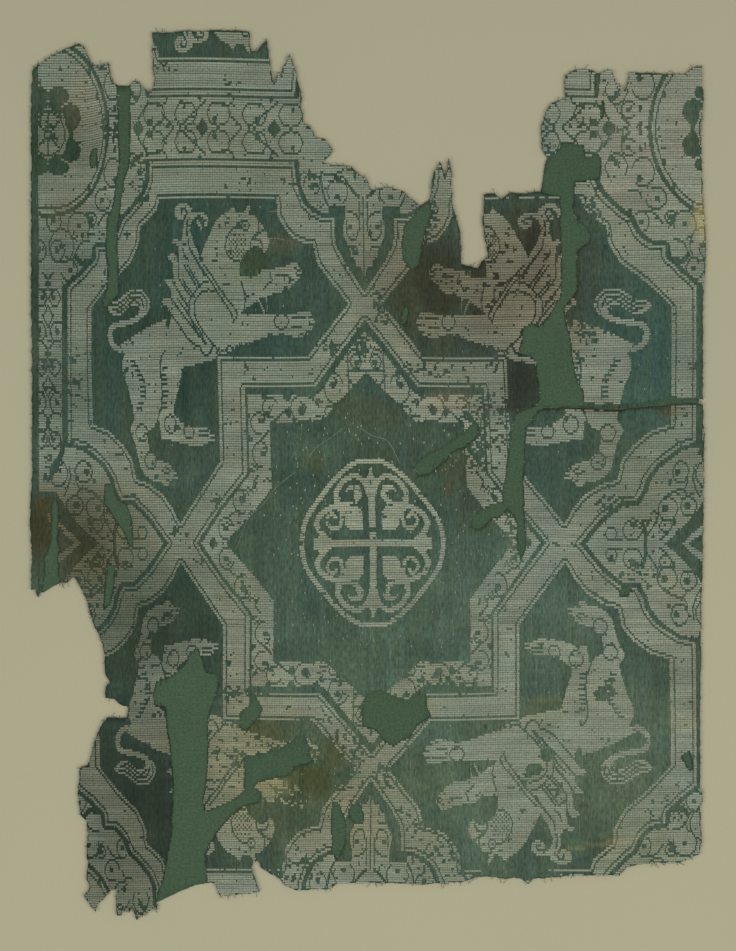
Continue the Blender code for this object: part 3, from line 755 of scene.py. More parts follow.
    def cut_palmette(self, chart: Chart) -> None:
        """Cut the palmette that points at the side crossing, with its chevrons.

        Args:
            chart: The chart to draw on.
        """
        for middle, wide, tall, eye, size in (
                ((128.4, 7.2), 4.2, 4.6, (128.8, 10), 1.4),
                ((144.5, 17.2), 4.3, 5.2, (143.2, 17.6), 1.6),
                ((143.8, 9), 2.5, 2.5, (143.4, 9), 0.6),
                ((154.2, 18.4), 3.6, 4.2, (153.6, 18.8), 1.7),
                ((150, 35.6), 3.7, 4.7, (148.4, 35.6), 1.4),
                ((161.4, 34.6), 3.6, 6.0, (163, 36), 1.2)):
            chart.cut(chart.ring(middle, wide, tall), chart.oval(eye, size, size * 1.2))
        chart.cut(chart.band([(132.8, 11.6), (134.6, 5), (134.6, -2)], 1.5))
        chart.cut(chart.line([(118, 2), (123.6, 2)]), chart.ring((118.6, 5.2), 2.4, 2.6))
        chart.cut(chart.oval((145, 30.7), 1.0, 1.3), chart.oval((138, 3.7), 0.9, 1.1))
        chart.cut(chart.oval((144.6, 5.6), 0.9, 1.0), chart.oval((147.6, 10.6), 0.8, 2.0))
        chart.score([(139.4, 11.6), (136.8, 7), (135, 3.8)], True)
        chart.score([(137.2, 17), (140.2, 14.4), (139.2, 11.4)], True)
        chart.score([(141.2, 2), (144.6, 5.4)])
        chart.score([(142.6, 23.2), (147, 25.8), (151, 26.8), (153.8, 23.4)], True)
        chart.score([(156.6, 38), (156.2, 32), (158, 26), (159.2, 23)], True)
        chart.score([(152, 27), (153.4, 30.6), (152.6, 33.4)], True)
        chart.cut(chart.area([(143.4, 0), (150.6, 6.6), (157.6, 15.6), (162.4, 25), (171, 25),
                              (171, -2), (143.4, -2)]))
        chart.lay(chart.area([(151.6, 0), (156, 4.8), (161, 9.8), (166.4, 15.4), (166.4, 11),
                              (161, 5.6), (157.4, 2.6), (154.8, 0), (154.8, -2), (151.6, -2)]))


class Design:
    """The whole quarter repeat, and which of its cells are pale."""

    def __init__(self) -> None:
        """Draw every motif on one chart."""
        self.chart = Chart(REPEAT_ACROSS + 8, REPEAT_UP + 18)
        straps = Straps()
        straps.draw(self.chart)
        Griffin().draw(self.chart)
        BorderField().draw(self.chart, straps)
        StarBorder().draw(self.chart)
        Medallion().draw(self.chart)

    def row(self, up: float) -> np.ndarray:
        """The chart's cells at a height, whichever side of the middle it is on.

        Args:
            up: The height above the star's level middle line, in mm.

        Returns:
            Whether each cell is pale.
        """
        height = abs(up)
        if height > REPEAT_UP:
            height = 2 * REPEAT_UP - height
        cells = self.chart.pale[int(round(height / PASS))]
        unbroken_bar = (-9 < up < 0) & (self.chart.across[0] < 1.7)
        return cells | unbroken_bar


# ---------------------------------------------------------------- how the cloth lies

class Lie:
    """How the woven design lies on the cloth, drawn out of true by wear and tension.

    A place in the design is across from the star's upright middle line and up from its level
    one, in mm. A place on the cloth is in mm in the part's own frame.
    """

    LEVELS: tuple[float, ...] = (207.4, 150.0, 92.0, 40.0, 0.0, -40.0, -92.0, -207.4)
    STEPS: tuple[float, ...] = (-166.0, -157.5, -145.0, -97.0, -73.5, -36.0, 0.0,
                                36.0, 73.5, 97.0, 145.0, 157.5, 166.0)
    ACROSS: tuple[tuple[float, ...], ...] = (
        (-160.0, -150.5, -138.5, -96.5, -75.5, -37.5, -3.0, 35.0, 70.0, 96.0, 152.0, 164.5, 175.5),
        (-160.0, -150.5, -138.5, -96.5, -75.5, -37.5, -2.2, 35.0, 69.5, 96.0, 152.0, 164.5, 175.5),
        (-160.0, -150.5, -138.5, -96.5, -75.5, -37.0, -1.2, 34.5, 69.5, 96.5, 152.0, 164.5, 175.5),
        (-160.0, -150.3, -137.0, -95.0, -74.2, -35.2, 1.0, 37.0, 72.0, 97.5, 151.5, 164.0, 175.5),
        (-160.0, -150.0, -136.0, -93.8, -73.0, -33.5, 2.6, 38.2, 74.5, 98.5, 150.0, 163.5, 175.5),
        (-160.0, -149.0, -135.0, -94.0, -72.8, -34.0, 2.6, 38.4, 76.0, 99.5, 150.5, 164.0, 175.5),
        (-158.0, -147.0, -134.5, -94.5, -72.8, -34.8, 1.8, 38.5, 76.0, 101.0, 151.5, 164.5, 175.5),
        (-156.0, -145.5, -133.0, -93.5, -72.0, -34.8, 0.8, 38.0, 76.5, 102.0, 152.0, 165.0, 176.0))
    MIDDLE: float = -33.9
    FOOT: float = 42.0
    BELOW_FOOT: float = 0.946
    AT_BAND: float = 93.3
    BEYOND: float = 1.1
    CORNER_SAG: float = 3.2

    def __call__(self, across: np.ndarray, up: np.ndarray) -> tuple[np.ndarray, np.ndarray]:
        """Where places in the design lie on the cloth.

        Args:
            across: How far right of the star's middle.
            up: How far above it.

        Returns:
            Their x and y in mm.
        """
        levels, steps = np.array(self.LEVELS[::-1]), np.array(self.STEPS)
        table = np.array(self.ACROSS[::-1])
        held = np.clip(up, levels[0], levels[-1])
        step = np.clip(across, steps[0], steps[-1])
        row = np.clip(np.searchsorted(levels, held) - 1, 0, len(levels) - 2)
        col = np.clip(np.searchsorted(steps, step) - 1, 0, len(steps) - 2)
        ty = (held - levels[row]) / (levels[row + 1] - levels[row])
        tx = (step - steps[col]) / (steps[col + 1] - steps[col])
        low = table[row, col] * (1 - tx) + table[row, col + 1] * tx
        high = table[row + 1, col] * (1 - tx) + table[row + 1, col + 1] * tx
        x = low * (1 - ty) + high * ty + (across - step) * self.BEYOND
        y = self.MIDDLE + np.interp(-up, [-300, self.FOOT, self.AT_BAND, 300],
                                    [300, -self.FOOT, -self.AT_BAND * self.BELOW_FOOT,
                                     -300 * self.BELOW_FOOT])
        corner = np.clip((-130 - x) / 12, 0, 1) * np.exp(-((up - 210) / 22) ** 2)
        y = y - self.CORNER_SAG * corner
        y = y + 0.35 * np.sin(x / 31 + up / 47) + 0.25 * np.sin(x / 13 + 1.7)
        return x, y


# ---------------------------------------------------------------- chance and wear

class Chance:
    """Smooth seeded variation over the cloth, between 0 and 1."""

    KNOTS: int = 97
    SHIFT: int = 1000

    def __init__(self, seed: int) -> None:
        """Fill a square of random knots."""
        self.knots = np.random.default_rng(seed).random((self.KNOTS, self.KNOTS))

    def __call__(self, x: np.ndarray, y: np.ndarray, wide: float, tall: float) -> np.ndarray:
        """The variation at places on the cloth.

        Args:
            x: Places across, in mm.
            y: Places up, in mm.
            wide: How far apart the knots are across, in mm.
            tall: How far apart they are up, in mm.

        Returns:
            A value from 0 to 1 for each place.
        """
        u, v = np.asarray(x) / wide + self.SHIFT, np.asarray(y) / tall + self.SHIFT
        i, j = np.floor(u).astype(int), np.floor(v).astype(int)
        s, t = u - i, v - j
        s, t = s * s * (3 - 2 * s), t * t * (3 - 2 * t)
        left, right = i % self.KNOTS, (i + 1) % self.KNOTS
        low, high = j % self.KNOTS, (j + 1) % self.KNOTS
        a, b = self.knots[low, left], self.knots[low, right]
        c, d = self.knots[high, left], self.knots[high, right]
        return (a * (1 - s) + b * s) * (1 - t) + (c * (1 - s) + d * s) * t

    def rough(self, x: np.ndarray, y: np.ndarray, size: float) -> np.ndarray:
        """Variation with finer detail added, from 0 to 1."""
        return (0.55 * self(x, y, size, size) + 0.3 * self(x + 91, y - 37, size / 2.1, size / 2.1)
                + 0.15 * self(x - 53, y + 71, size / 4.3, size / 4.3))


@dataclass(frozen=True)
class Blot:
    """A soft-edged patch on the cloth, in mm in the part's frame.

    Attributes:
        x: Its middle across.
        y: Its middle up.
        wide: Its half width.
        tall: Its half height.
        amount: How strong it is at its middle, from 0 to 1.
        turn: How far it is turned, in degrees.
    """

    x: float
    y: float
    wide: float
    tall: float
    amount: float
    turn: float = 0.0

    def at(self, x: np.ndarray, y: np.ndarray, uneven: np.ndarray) -> np.ndarray:
        """How strong the patch is, with an uneven edge.

        Args:
            x: Places across, in mm.
            y: Places up, in mm.
            uneven: A value from 0 to 1 for each place, which moves the edge there.

        Returns:
            Its strength at each place.
        """
        c, s = math.cos(math.radians(self.turn)), math.sin(math.radians(self.turn))
        dx, dy = x - self.x, y - self.y
        far = np.sqrt(((dx * c + dy * s) / self.wide) ** 2 + ((dy * c - dx * s) / self.tall) ** 2)
        return self.amount * np.clip((1.25 + 0.6 * (uneven - 0.5) - far) / 0.6, 0, 1)


@dataclass(frozen=True)
class Tint:
    """A colour that the cloth takes near a place.

    Attributes:
        x: The place across, in mm.
        y: The place up, in mm.
        reach: How far it carries, in mm.
        colour: Red, green and blue as seen, from 0 to 255.
        pull: How much it counts.
    """

    x: float
    y: float
    reach: float
    colour: tuple[float, float, float]
    pull: float = 1.0


def linear(colour: np.ndarray) -> np.ndarray:
    """Colours as seen, from 0 to 255, turned into linear ones."""
    c = np.clip(np.asarray(colour, float) / 255, 0, 1)
    return np.where(c <= 0.04045, c / 12.92, ((c + 0.055) / 1.055) ** 2.4)


def without_gloss(colour: np.ndarray, gloss: float) -> np.ndarray:
    """The dye's linear colour, less the faint gloss that every thread adds to it."""
    return np.clip((linear(colour) - gloss), 0.004, 1)


@dataclass(frozen=True)
class Stain:
    """A stain: where it is, and the colour that it takes the cloth towards."""

    blot: Blot
    colour: tuple[float, float, float]


class Dyeing:
    """The colour of the ground, of the floats and of the support cloth at every place."""

    GROUND_BASE = (62, 78, 67)
    FLOAT_BASE = (125, 132, 113)
    SUPPORT_BASE = (67, 84, 67)
    STREAK = (9.0, 9.0, 9.5)
    AGED_GROUND = (7.0, 2.0, -6.0)
    AGED_FLOAT = (6.0, 0.5, -4.0)
    BLUER = (-7.0, -1.0, 3.0)
    COOLER = (1.0, 1.005, 1.035)
    SILK_GLOSS = 0.012
    SUPPORT_GLOSS = 0.014
    FAR_PULL = 0.35
    MEAN_LIGHT = 84.0
    GROUND: tuple[Tint, ...] = tuple(Tint(*row) for row in (
        # across, up, reach, colour, pull
        (-84, 95, 38, (50, 68, 60), 2), (-104, 60, 20, (47, 61, 53), 2), (-20, 25, 22, (66, 82, 70)),
        (-2, 62, 20, (58, 76, 66)), (5, -95, 40, (76, 93, 77)), (58, -60, 30, (80, 96, 81)),
        (-45, -40, 30, (67, 84, 71)), (55, 20, 22, (63, 77, 65)), (30, 88, 18, (58, 64, 53), 2),
        (77, 95, 24, (53, 55, 47), 3), (76, 46, 9, (55, 62, 53), 3), (130, 66, 26, (60, 79, 70), 2),
        (-164, -24, 9, (60, 62, 46), 3), (-140, -34, 16, (60, 60, 46), 2),
        (-108, -80, 26, (46, 59, 49), 3), (-124, -170, 30, (40, 50, 43), 4),
        (-48, -150, 26, (70, 82, 64), 2), (-20, -140, 20, (72, 80, 58)), (60, -150, 40, (80, 96, 81)),
        (130, -140, 26, (86, 101, 85)), (-160, 90, 12, (50, 65, 55), 3), (-158, 40, 12, (52, 67, 57), 2),
        (-125, 150, 16, (64, 79, 66)), (-152, 165, 14, (50, 65, 51), 3), (95, -75, 18, (80, 96, 81)),
        (136, 172, 16, (80, 90, 75), 2), (130, 140, 16, (68, 85, 71))))
    FLOATS: tuple[Tint, ...] = tuple(Tint(*row) for row in (
        # across, up, reach, colour, pull
        (-80, 145, 30, (122, 128, 106)), (-20, 52, 22, (124, 131, 110)), (-84, 95, 32, (117, 127, 108)),
        (-152, 110, 16, (102, 112, 96), 2), (-150, 45, 16, (96, 107, 90), 2),
        (-154, 165, 14, (102, 107, 88), 2), (-164, -24, 10, (92, 84, 60), 3),
        (-140, -34, 18, (88, 88, 66), 3), (-92, -4, 14, (116, 124, 103)),
        (-70, -60, 18, (118, 124, 103)), (-114, -70, 20, (80, 88, 72), 3),
        (-124, -150, 30, (98, 102, 84), 4), (-120, -190, 20, (92, 96, 78), 3),
        (-62, -120, 20, (122, 124, 100)), (-48, -150, 22, (126, 124, 92), 2),
        (-10, -165, 18, (124, 124, 98), 2), (3, 0, 30, (142, 148, 124), 2),
        (30, 100, 22, (112, 110, 88), 3), (77, 95, 22, (116, 111, 90), 4),
        (62, 52, 14, (122, 126, 106), 2), (84, -6, 12, (124, 130, 112)),
        (140, 166, 26, (136, 138, 119), 3), (150, 66, 14, (112, 120, 102)),
        (140, 0, 24, (112, 120, 100)), (78, -100, 18, (126, 134, 115)), (90, -150, 30, (124, 132, 112)),
        (160, -100, 14, (118, 122, 98)), (20, -110, 18, (126, 130, 104)),
        (20, -185, 20, (118, 124, 100)), (130, -185, 20, (118, 122, 96))))
    STAINS: tuple[Stain, ...] = tuple(Stain(Blot(*spot), colour) for *spot, colour in (
        # across, up, half width, half height, amount, turn, colour
        (-58, 104, 8, 8, 0.6, (74, 88, 64)), (34, 98, 12, 18, 0.45, (56, 56, 44)),
        (20, 92, 8, 12, 0.4, (66, 68, 50)), (60, 84, 11, 20, 0.3, (64, 60, 48)),
        (84, 112, 6, 22, 0.4, (56, 52, 43)), (76, 44, 8, 14, 0.6, (52, 56, 48)),
        (-163, -28, 6, 17, 0.45, (72, 72, 48)), (-162, -14, 4, 4, 0.4, (84, 76, 46)),
        (-141, -30, 8, 26, 0.4, 20, (60, 64, 48)), (0, 32, 26, 7, 0.4, -14, (76, 82, 60)),
        (46, 4, 14, 9, 0.35, -20, (74, 70, 50)), (40, -6, 4, 4, 0.4, (88, 78, 52)),
        (52, -16, 10, 16, 0.35, (66, 72, 54)), (-48, -152, 14, 8, 0.35, (120, 114, 76)),
        (-27, -153, 11, 8.5, 0.7, (66, 73, 46)), (-18, -140, 7, 6, 0.5, (78, 83, 57)),
        (-29, -143, 7, 2.6, 0.9, (66, 85, 66)), (-9, -150, 7, 3, 0.9, (66, 85, 66)),
        (-52, -128, 14, 5, 0.45, (82, 82, 52)), (166, 128, 4, 12, 0.7, (150, 138, 88)),
        (158, -124, 6, 4, 0.4, (136, 130, 92)), (112, -185, 28, 1.0, 0.5, 9, (128, 122, 84)),
        (126, -182, 8, 6, 0.3, (118, 110, 82)), (10, -180, 22, 12, 0.15, (112, 108, 78)),
        (-28, 6, 7, 5, 0.3, (92, 96, 66)), (96, 34, 66, 1.2, 0.5, (60, 54, 42)),
        (152, 32, 9, 3, 0.5, (84, 70, 48)), (120, 96, 14, 12, 0.25, (70, 92, 82)),
        (118, 33, 12, 2, 0.6, (60, 52, 40)), (-150, 130, 10, 12, 0.35, (92, 86, 60)),
        (-142, 184, 12, 14, 0.4, (118, 106, 84)), (40, 38, 12, 5, 0.4, (128, 108, 84)),
        (-45, 116, 12, 4, 0.25, (126, 110, 88)), (152, -58, 12, 8, 0.2, (120, 116, 84)),
        (90, -112, 12, 1.6, 0.3, (118, 118, 72)), (88, -118, 12, 7, 0.25, (104, 106, 70))))
    BLUE: tuple[Blot, ...] = tuple(Blot(*row) for row in (
        # across, up, half width, half height, amount
        (66, -30, 30, 60, 0.5), (-40, 30, 16, 40, 0.5), (20, -80, 26, 40, 0.4), (140, 60, 20, 60, 0.5),
        (-90, 70, 14, 60, 0.4)))

    def __init__(self, chance: Chance) -> None:
        """Keep the source of unevenness."""
        self.chance = chance

    def blend(self, x: np.ndarray, y: np.ndarray, base: tuple[float, float, float],
              tints: Sequence[Tint]) -> np.ndarray:
        """The colour that nearby tints give, from 0 to 255.

        Args:
            x: Places across, in mm.
            y: Places up, in mm.
            base: The colour far from every tint.
            tints: The tints.

        Returns:
            A row of red, green and blue for each place.
        """
        total = np.full(x.shape, self.FAR_PULL)
        mixed = np.outer(total, base)
        for tint in tints:
            far = ((x - tint.x) ** 2 + (y - tint.y) ** 2) / tint.reach ** 2
            pull = tint.pull * np.exp(-far)
            total += pull
            mixed += np.outer(pull, tint.colour)
        return mixed / total[:, None]

    def soil(self, x: np.ndarray, y: np.ndarray, colour: np.ndarray, hold: float) -> np.ndarray:
        """Colours after every stain has taken them.

        Args:
            x: Places across, in mm.
            y: Places up, in mm.
            colour: Red, green and blue for each place, from 0 to 255.
            hold: How much of a stain this cloth takes.

        Returns:
            The stained colours.
        """
        uneven = self.chance.rough(x, y, 9.0)
        for stain in self.STAINS:
            amount = (hold * stain.blot.at(x, y, uneven))[:, None]
            light = colour.mean(1, keepdims=True) / self.MEAN_LIGHT
            goal = np.array(stain.colour, float)[None, :] * (0.5 + 0.5 * light)
            colour = colour * (1 - amount) + goal * amount
        return colour

    def ground(self, x: np.ndarray, y: np.ndarray) -> np.ndarray:
        """The colour of the ground.

        Args:
            x: Places across, in mm.
            y: Places up, in mm.

        Returns:
            Its linear colour at each place.
        """
        colour = self.blend(x, y, self.GROUND_BASE, self.GROUND)
        colour = colour * (0.9 + 0.2 * self.chance.rough(x, y, 13.0))[:, None]
        streak = self.chance(x, y, 2.1, 38.0) - 0.5
        colour = colour + streak[:, None] * np.array(self.STREAK)
        age = self.chance.rough(x + 300, y + 90, 21.0) + 0.5 * self.chance(x, y + 7, 3.4, 50.0)
        colour = colour + ((age - 0.75) * 0.9)[:, None] * np.array(self.AGED_GROUND)
        uneven = self.chance.rough(x, y, 12.0)
        for blot in self.BLUE:
            shift = blot.at(x, y, uneven)[:, None] * self.chance(x, y, 2.6, 90.0)[:, None]
            colour = colour + shift * np.array(self.BLUER)
        return without_gloss(self.soil(x, y, colour, 1.0), self.SILK_GLOSS)

    def floats(self, x: np.ndarray, y: np.ndarray) -> np.ndarray:
        """The colour of the pattern weft.

        Args:
            x: Places across, in mm.
            y: Places up, in mm.

        Returns:
            Its linear colour at each place.
        """
        colour = self.blend(x, y, self.FLOAT_BASE, self.FLOATS)
        colour = colour * (0.9 + 0.2 * self.chance.rough(x, y, 9.0))[:, None]
        age = self.chance.rough(x + 50, y + 190, 14.0) + 0.5 * self.chance(x, y, 3.0, 30.0)
        colour = colour + ((age - 0.75) * 1.2)[:, None] * np.array(self.AGED_FLOAT)
        return without_gloss(self.soil(x, y, colour, 0.6) * self.COOLER, self.SILK_GLOSS)

    def support(self, x: np.ndarray, y: np.ndarray) -> np.ndarray:
        """The colour of the support cloth.

        Args:
            x: Places across, in mm.
            y: Places up, in mm.

        Returns:
            Its linear colour at each place.
        """
        colour = self.blend(x, y, self.SUPPORT_BASE, ())
        colour = colour * (0.97 + 0.06 * self.chance.rough(x, y, 30.0))[:, None]
        dark = Blot(-112, 120, 8, 60, 0.5).at(x, y, self.chance.rough(x, y, 9.0))[:, None]
        return without_gloss(colour * (1 - 0.12 * dark), self.SUPPORT_GLOSS)


# ---------------------------------------------------------------- outlines from the part

class Silhouette:
    """The outline of one of the part's sheets, as seen from above, in mm."""

    STEP = 0.25
    MARGIN = 8
    KEYS_A_METRE = 1e5

    def __init__(self, node: bpy.types.Object) -> None:
        """Read the loops round the node's upper faces.

        Args:
            node: The part's sheet.
        """
        mesh = node.data
        places: dict[tuple[int, int], int] = {}
        points: list[tuple[float, float]] = []
        edges: dict[tuple[int, int], int] = {}
        tops = [p for p in mesh.polygons if p.normal.z > 0.5]
        for face in tops:
            ring = []
            for v in face.vertices:
                co = mesh.vertices[v].co
                key = (round(co.x * self.KEYS_A_METRE), round(co.y * self.KEYS_A_METRE))
                if key not in places:
                    places[key] = len(points)
                    points.append((co.x / MM, co.y / MM))
                ring.append(places[key])
            for a, b in zip(ring, ring[1:] + ring[:1]):
                edges[(a, b)] = edges.get((a, b), 0) + 1
        follow = {a: b for a, b in edges if (b, a) not in edges}
        self.loops: list[np.ndarray] = []
        while follow:
            start, at = next(iter(follow.items()))
            follow.pop(start)
            loop = [start]
            while at != start and at in follow:
                loop.append(at)
                at = follow.pop(at)
            self.loops.append(np.array([points[i] for i in loop]))
        self.raster = self.fill()

    def fill(self) -> np.ndarray:
        """The outline filled in on a fine grid, row by row."""
        wide = int(PANEL_WIDTH_MM / self.STEP) + 2 * self.MARGIN
        tall = int(PANEL_HEIGHT_MM / self.STEP) + 2 * self.MARGIN
        grid = np.zeros((tall, wide), bool)
        segments = np.concatenate([np.hstack([loop, np.roll(loop, -1, 0)]) for loop in self.loops])
        for row in range(tall):
            y = -PANEL_HEIGHT_MM / 2 + (row - self.MARGIN + 0.5) * self.STEP
            a, b = segments[:, 1] > y, segments[:, 3] > y
            hit = segments[a != b]
            at = np.sort(hit[:, 0] + (y - hit[:, 1]) * (hit[:, 2] - hit[:, 0])
                         / (hit[:, 3] - hit[:, 1]))
            cols = (at + PANEL_WIDTH_MM / 2) / self.STEP + self.MARGIN
            for left, right in zip(cols[::2], cols[1::2]):
                grid[row, max(int(round(left)), 0):max(int(round(right)), 0)] = True
        return grid

    def shrunk(self, steps: int) -> np.ndarray:
        """The filled grid, drawn in all round.

        Args:
            steps: How many steps of the grid it is drawn in by.

        Returns:
            The smaller grid.
        """
        grid = self.raster.copy()
        for _ in range(steps):
            inner = grid.copy()
            inner[1:] &= grid[:-1]
            inner[:-1] &= grid[1:]
            inner[:, 1:] &= grid[:, :-1]
            inner[:, :-1] &= grid[:, 1:]
            grid = inner
        return grid

    @classmethod
    def look(cls, grid: np.ndarray, x: np.ndarray, y: np.ndarray) -> np.ndarray:
        """Whether places are on a filled grid.

        Args:
            grid: The filled grid.
            x: Places across, in mm.
            y: Places up, in mm.

        Returns:
            Whether each place is on it.
        """
        col = np.floor((x + PANEL_WIDTH_MM / 2) / cls.STEP).astype(int) + cls.MARGIN
        row = np.floor((y + PANEL_HEIGHT_MM / 2) / cls.STEP).astype(int) + cls.MARGIN
        ok = (col >= 0) & (row >= 0) & (col < grid.shape[1]) & (row < grid.shape[0])
        return ok & grid[np.clip(row, 0, grid.shape[0] - 1), np.clip(col, 0, grid.shape[1] - 1)]

    def frayed(self, depth: float, step: float, rng: np.random.Generator) -> list[np.ndarray]:
        """The loops with more corners, each moved sideways a little.

        Args:
            depth: The farthest that a corner moves, in mm.
            step: About how far apart the corners are, in mm.
            rng: Where chance comes from.

        Returns:
            The loops.
        """
        made = []
        for loop in self.loops:
            after = np.roll(loop, -1, 0)
            points = []
            for a, b in zip(loop, after):
                length = float(np.hypot(*(b - a)))
                parts = max(1, int(length / step))
                aside = np.array([-(b - a)[1], (b - a)[0]]) / max(length, 1e-6)
                for part in range(parts):
                    t = part / parts
                    points.append(a + (b - a) * t + aside * rng.uniform(-depth, depth))
            made.append(np.array(points))
        return made


class Relief:
    """How the cloths rise and fall: nearly flat, with a slight cockle."""

    COCKLE: float = 0.26
    RIPPLE: float = 0.1
    RIB: float = 0.05

    def __init__(self, chance: Chance) -> None:
        """Keep the source of unevenness."""
        self.chance = chance

    def __call__(self, x: np.ndarray, y: np.ndarray) -> np.ndarray:
        """The rise in mm at places on the cloth."""
        return (self.COCKLE * self.chance(x, y, 46.0, 70.0)
                + self.RIPPLE * self.chance(x + 40, y, 11.0, 60.0)
                + self.RIB * self.chance(x, y + 20, 30.0, 5.0))


# ---------------------------------------------------------------- materials

class Signal:
    """A shader value with ordinary arithmetic."""

    def __init__(self, graph: "Graph", socket: bpy.types.NodeSocket) -> None:
        """Wrap an output socket."""
        self.graph, self.socket = graph, socket

    def _math(self, kind: str, a: object, b: object) -> "Signal":
        """One Math node on two values."""
        return self.graph.node("ShaderNodeMath", {"operation": kind}, {0: a, 1: b})

    def __add__(self, other: object) -> "Signal":
        """Self plus other."""
        return self._math("ADD", self, other)

    def __radd__(self, other: object) -> "Signal":
        """Other plus self."""
        return self._math("ADD", other, self)

    def __sub__(self, other: object) -> "Signal":
        """Self minus other."""
        return self._math("SUBTRACT", self, other)

    def __rsub__(self, other: object) -> "Signal":
        """Other minus self."""
        return self._math("SUBTRACT", other, self)

    def __mul__(self, other: object) -> "Signal":
        """Self times other."""
        return self._math("MULTIPLY", self, other)

    def __rmul__(self, other: object) -> "Signal":
        """Other times self."""
        return self._math("MULTIPLY", other, self)

    def power(self, other: object) -> "Signal":
        """Self raised to other."""
        return self._math("POWER", self, other)

    def sine(self) -> "Signal":
        """The sine of self."""
        return self._math("SINE", self, 0.0)

    def clamped(self) -> "Signal":
        """Self, kept from 0 to 1."""
        return self.graph.node("ShaderNodeClamp", {}, {"Value": self})


class Graph:
    """A material's nodes, and the few ways they are joined."""

    def __init__(self, name: str) -> None:
        """Start a material with one Principled shader."""
        self.material = bpy.data.materials.new(name)
        self.material.use_nodes = True
        self.tree = self.material.node_tree
        self.shader = self.tree.nodes["Principled BSDF"]

    def node(self, kind: str, settings: dict[str, object], sockets: dict[object, object],
             out: object = 0) -> Signal:
        """Add a node.

        Args:
            kind: The node's type.
            settings: Its own settings, set first.
            sockets: Its inputs, each a constant or a Signal.
            out: Which output to read.

        Returns:
            The output read.
        """
        made = self.tree.nodes.new(kind)
        for name, value in settings.items():
            setattr(made, name, value)
        for name, value in sockets.items():
            if isinstance(value, Signal):
                self.tree.links.new(value.socket, made.inputs[name])
            else:
                made.inputs[name].default_value = value
        return Signal(self, made.outputs[out])

    def place(self) -> Signal:
        """Object coordinates."""
        return self.node("ShaderNodeTexCoord", {}, {}, "Object")

    def axis(self, letter: str) -> Signal:
        """One object coordinate, in metres."""
        return self.node("ShaderNodeSeparateXYZ", {}, {"Vector": self.place()}, letter)

    def dye(self) -> Signal:
        """The colour kept on the mesh."""
        return self.node("ShaderNodeAttribute", {"attribute_name": "dye"}, {}, "Color")

    def noise(self, scale: tuple[float, float, float], detail: float = 2.0,
              shift: tuple[float, float, float] = (0.0, 0.0, 0.0)) -> Signal:
        """Noise with its own scale along each axis, in cycles a metre."""
        spot = self.node("ShaderNodeMapping", {}, {"Vector": self.place(), "Scale": scale,
                                                   "Location": shift})
        return self.node("ShaderNodeTexNoise", {}, {"Vector": spot, "Scale": 1.0,
                                                    "Detail": detail, "Roughness": 0.55})

    def wave(self, letter: str, pitch: float, sway: float, noise: Signal) -> Signal:
        """A wave from 0 to 1 along an axis, of this pitch in metres, swayed by noise."""
        turn = 2 * math.pi / pitch
        return (self.axis(letter) * turn + noise * sway).sine() * 0.5 + 0.5

    def shaded(self, colour: Signal, factor: Signal) -> Signal:
        """A colour times a value."""
        return self.node("ShaderNodeVectorMath", {"operation": "SCALE"},
                         {0: colour, "Scale": factor})

    def mixed(self, factor: Signal, a: object, b: object) -> Signal:
        """A colour between two."""
        return self.node("ShaderNodeMix", {"data_type": "RGBA"}, {0: factor, 6: a, 7: b}, 2)

    def finish(self, colour: Signal, rough: Signal, height: Signal, depth: float,
               constants: dict[str, float]) -> bpy.types.Material:
        """Join what varies to the shader and set what doesn't.

        Args:
            colour: The base colour.
            rough: The roughness.
            height: The bump's height, from 0 to 1.
            depth: How deep the bump is, in metres.
            constants: Values set on the shader's own sockets.

        Returns:
            The material.
        """
        bump = self.node("ShaderNodeBump", {}, {"Height": height, "Distance": depth,
                                                "Strength": 1.0}, "Normal")
        for name, signal in (("Base Color", colour), ("Roughness", rough), ("Normal", bump)):
            self.tree.links.new(signal.socket, self.shader.inputs[name])
        for name, value in constants.items():
            self.shader.inputs[name].default_value = value
        return self.material


class Yarn(Enum):
    """The kinds of surface."""

    GROUND = "silk ground"
    FLOAT = "pattern weft"
    SUPPORT = "support cloth"
    END = "loose yarn"


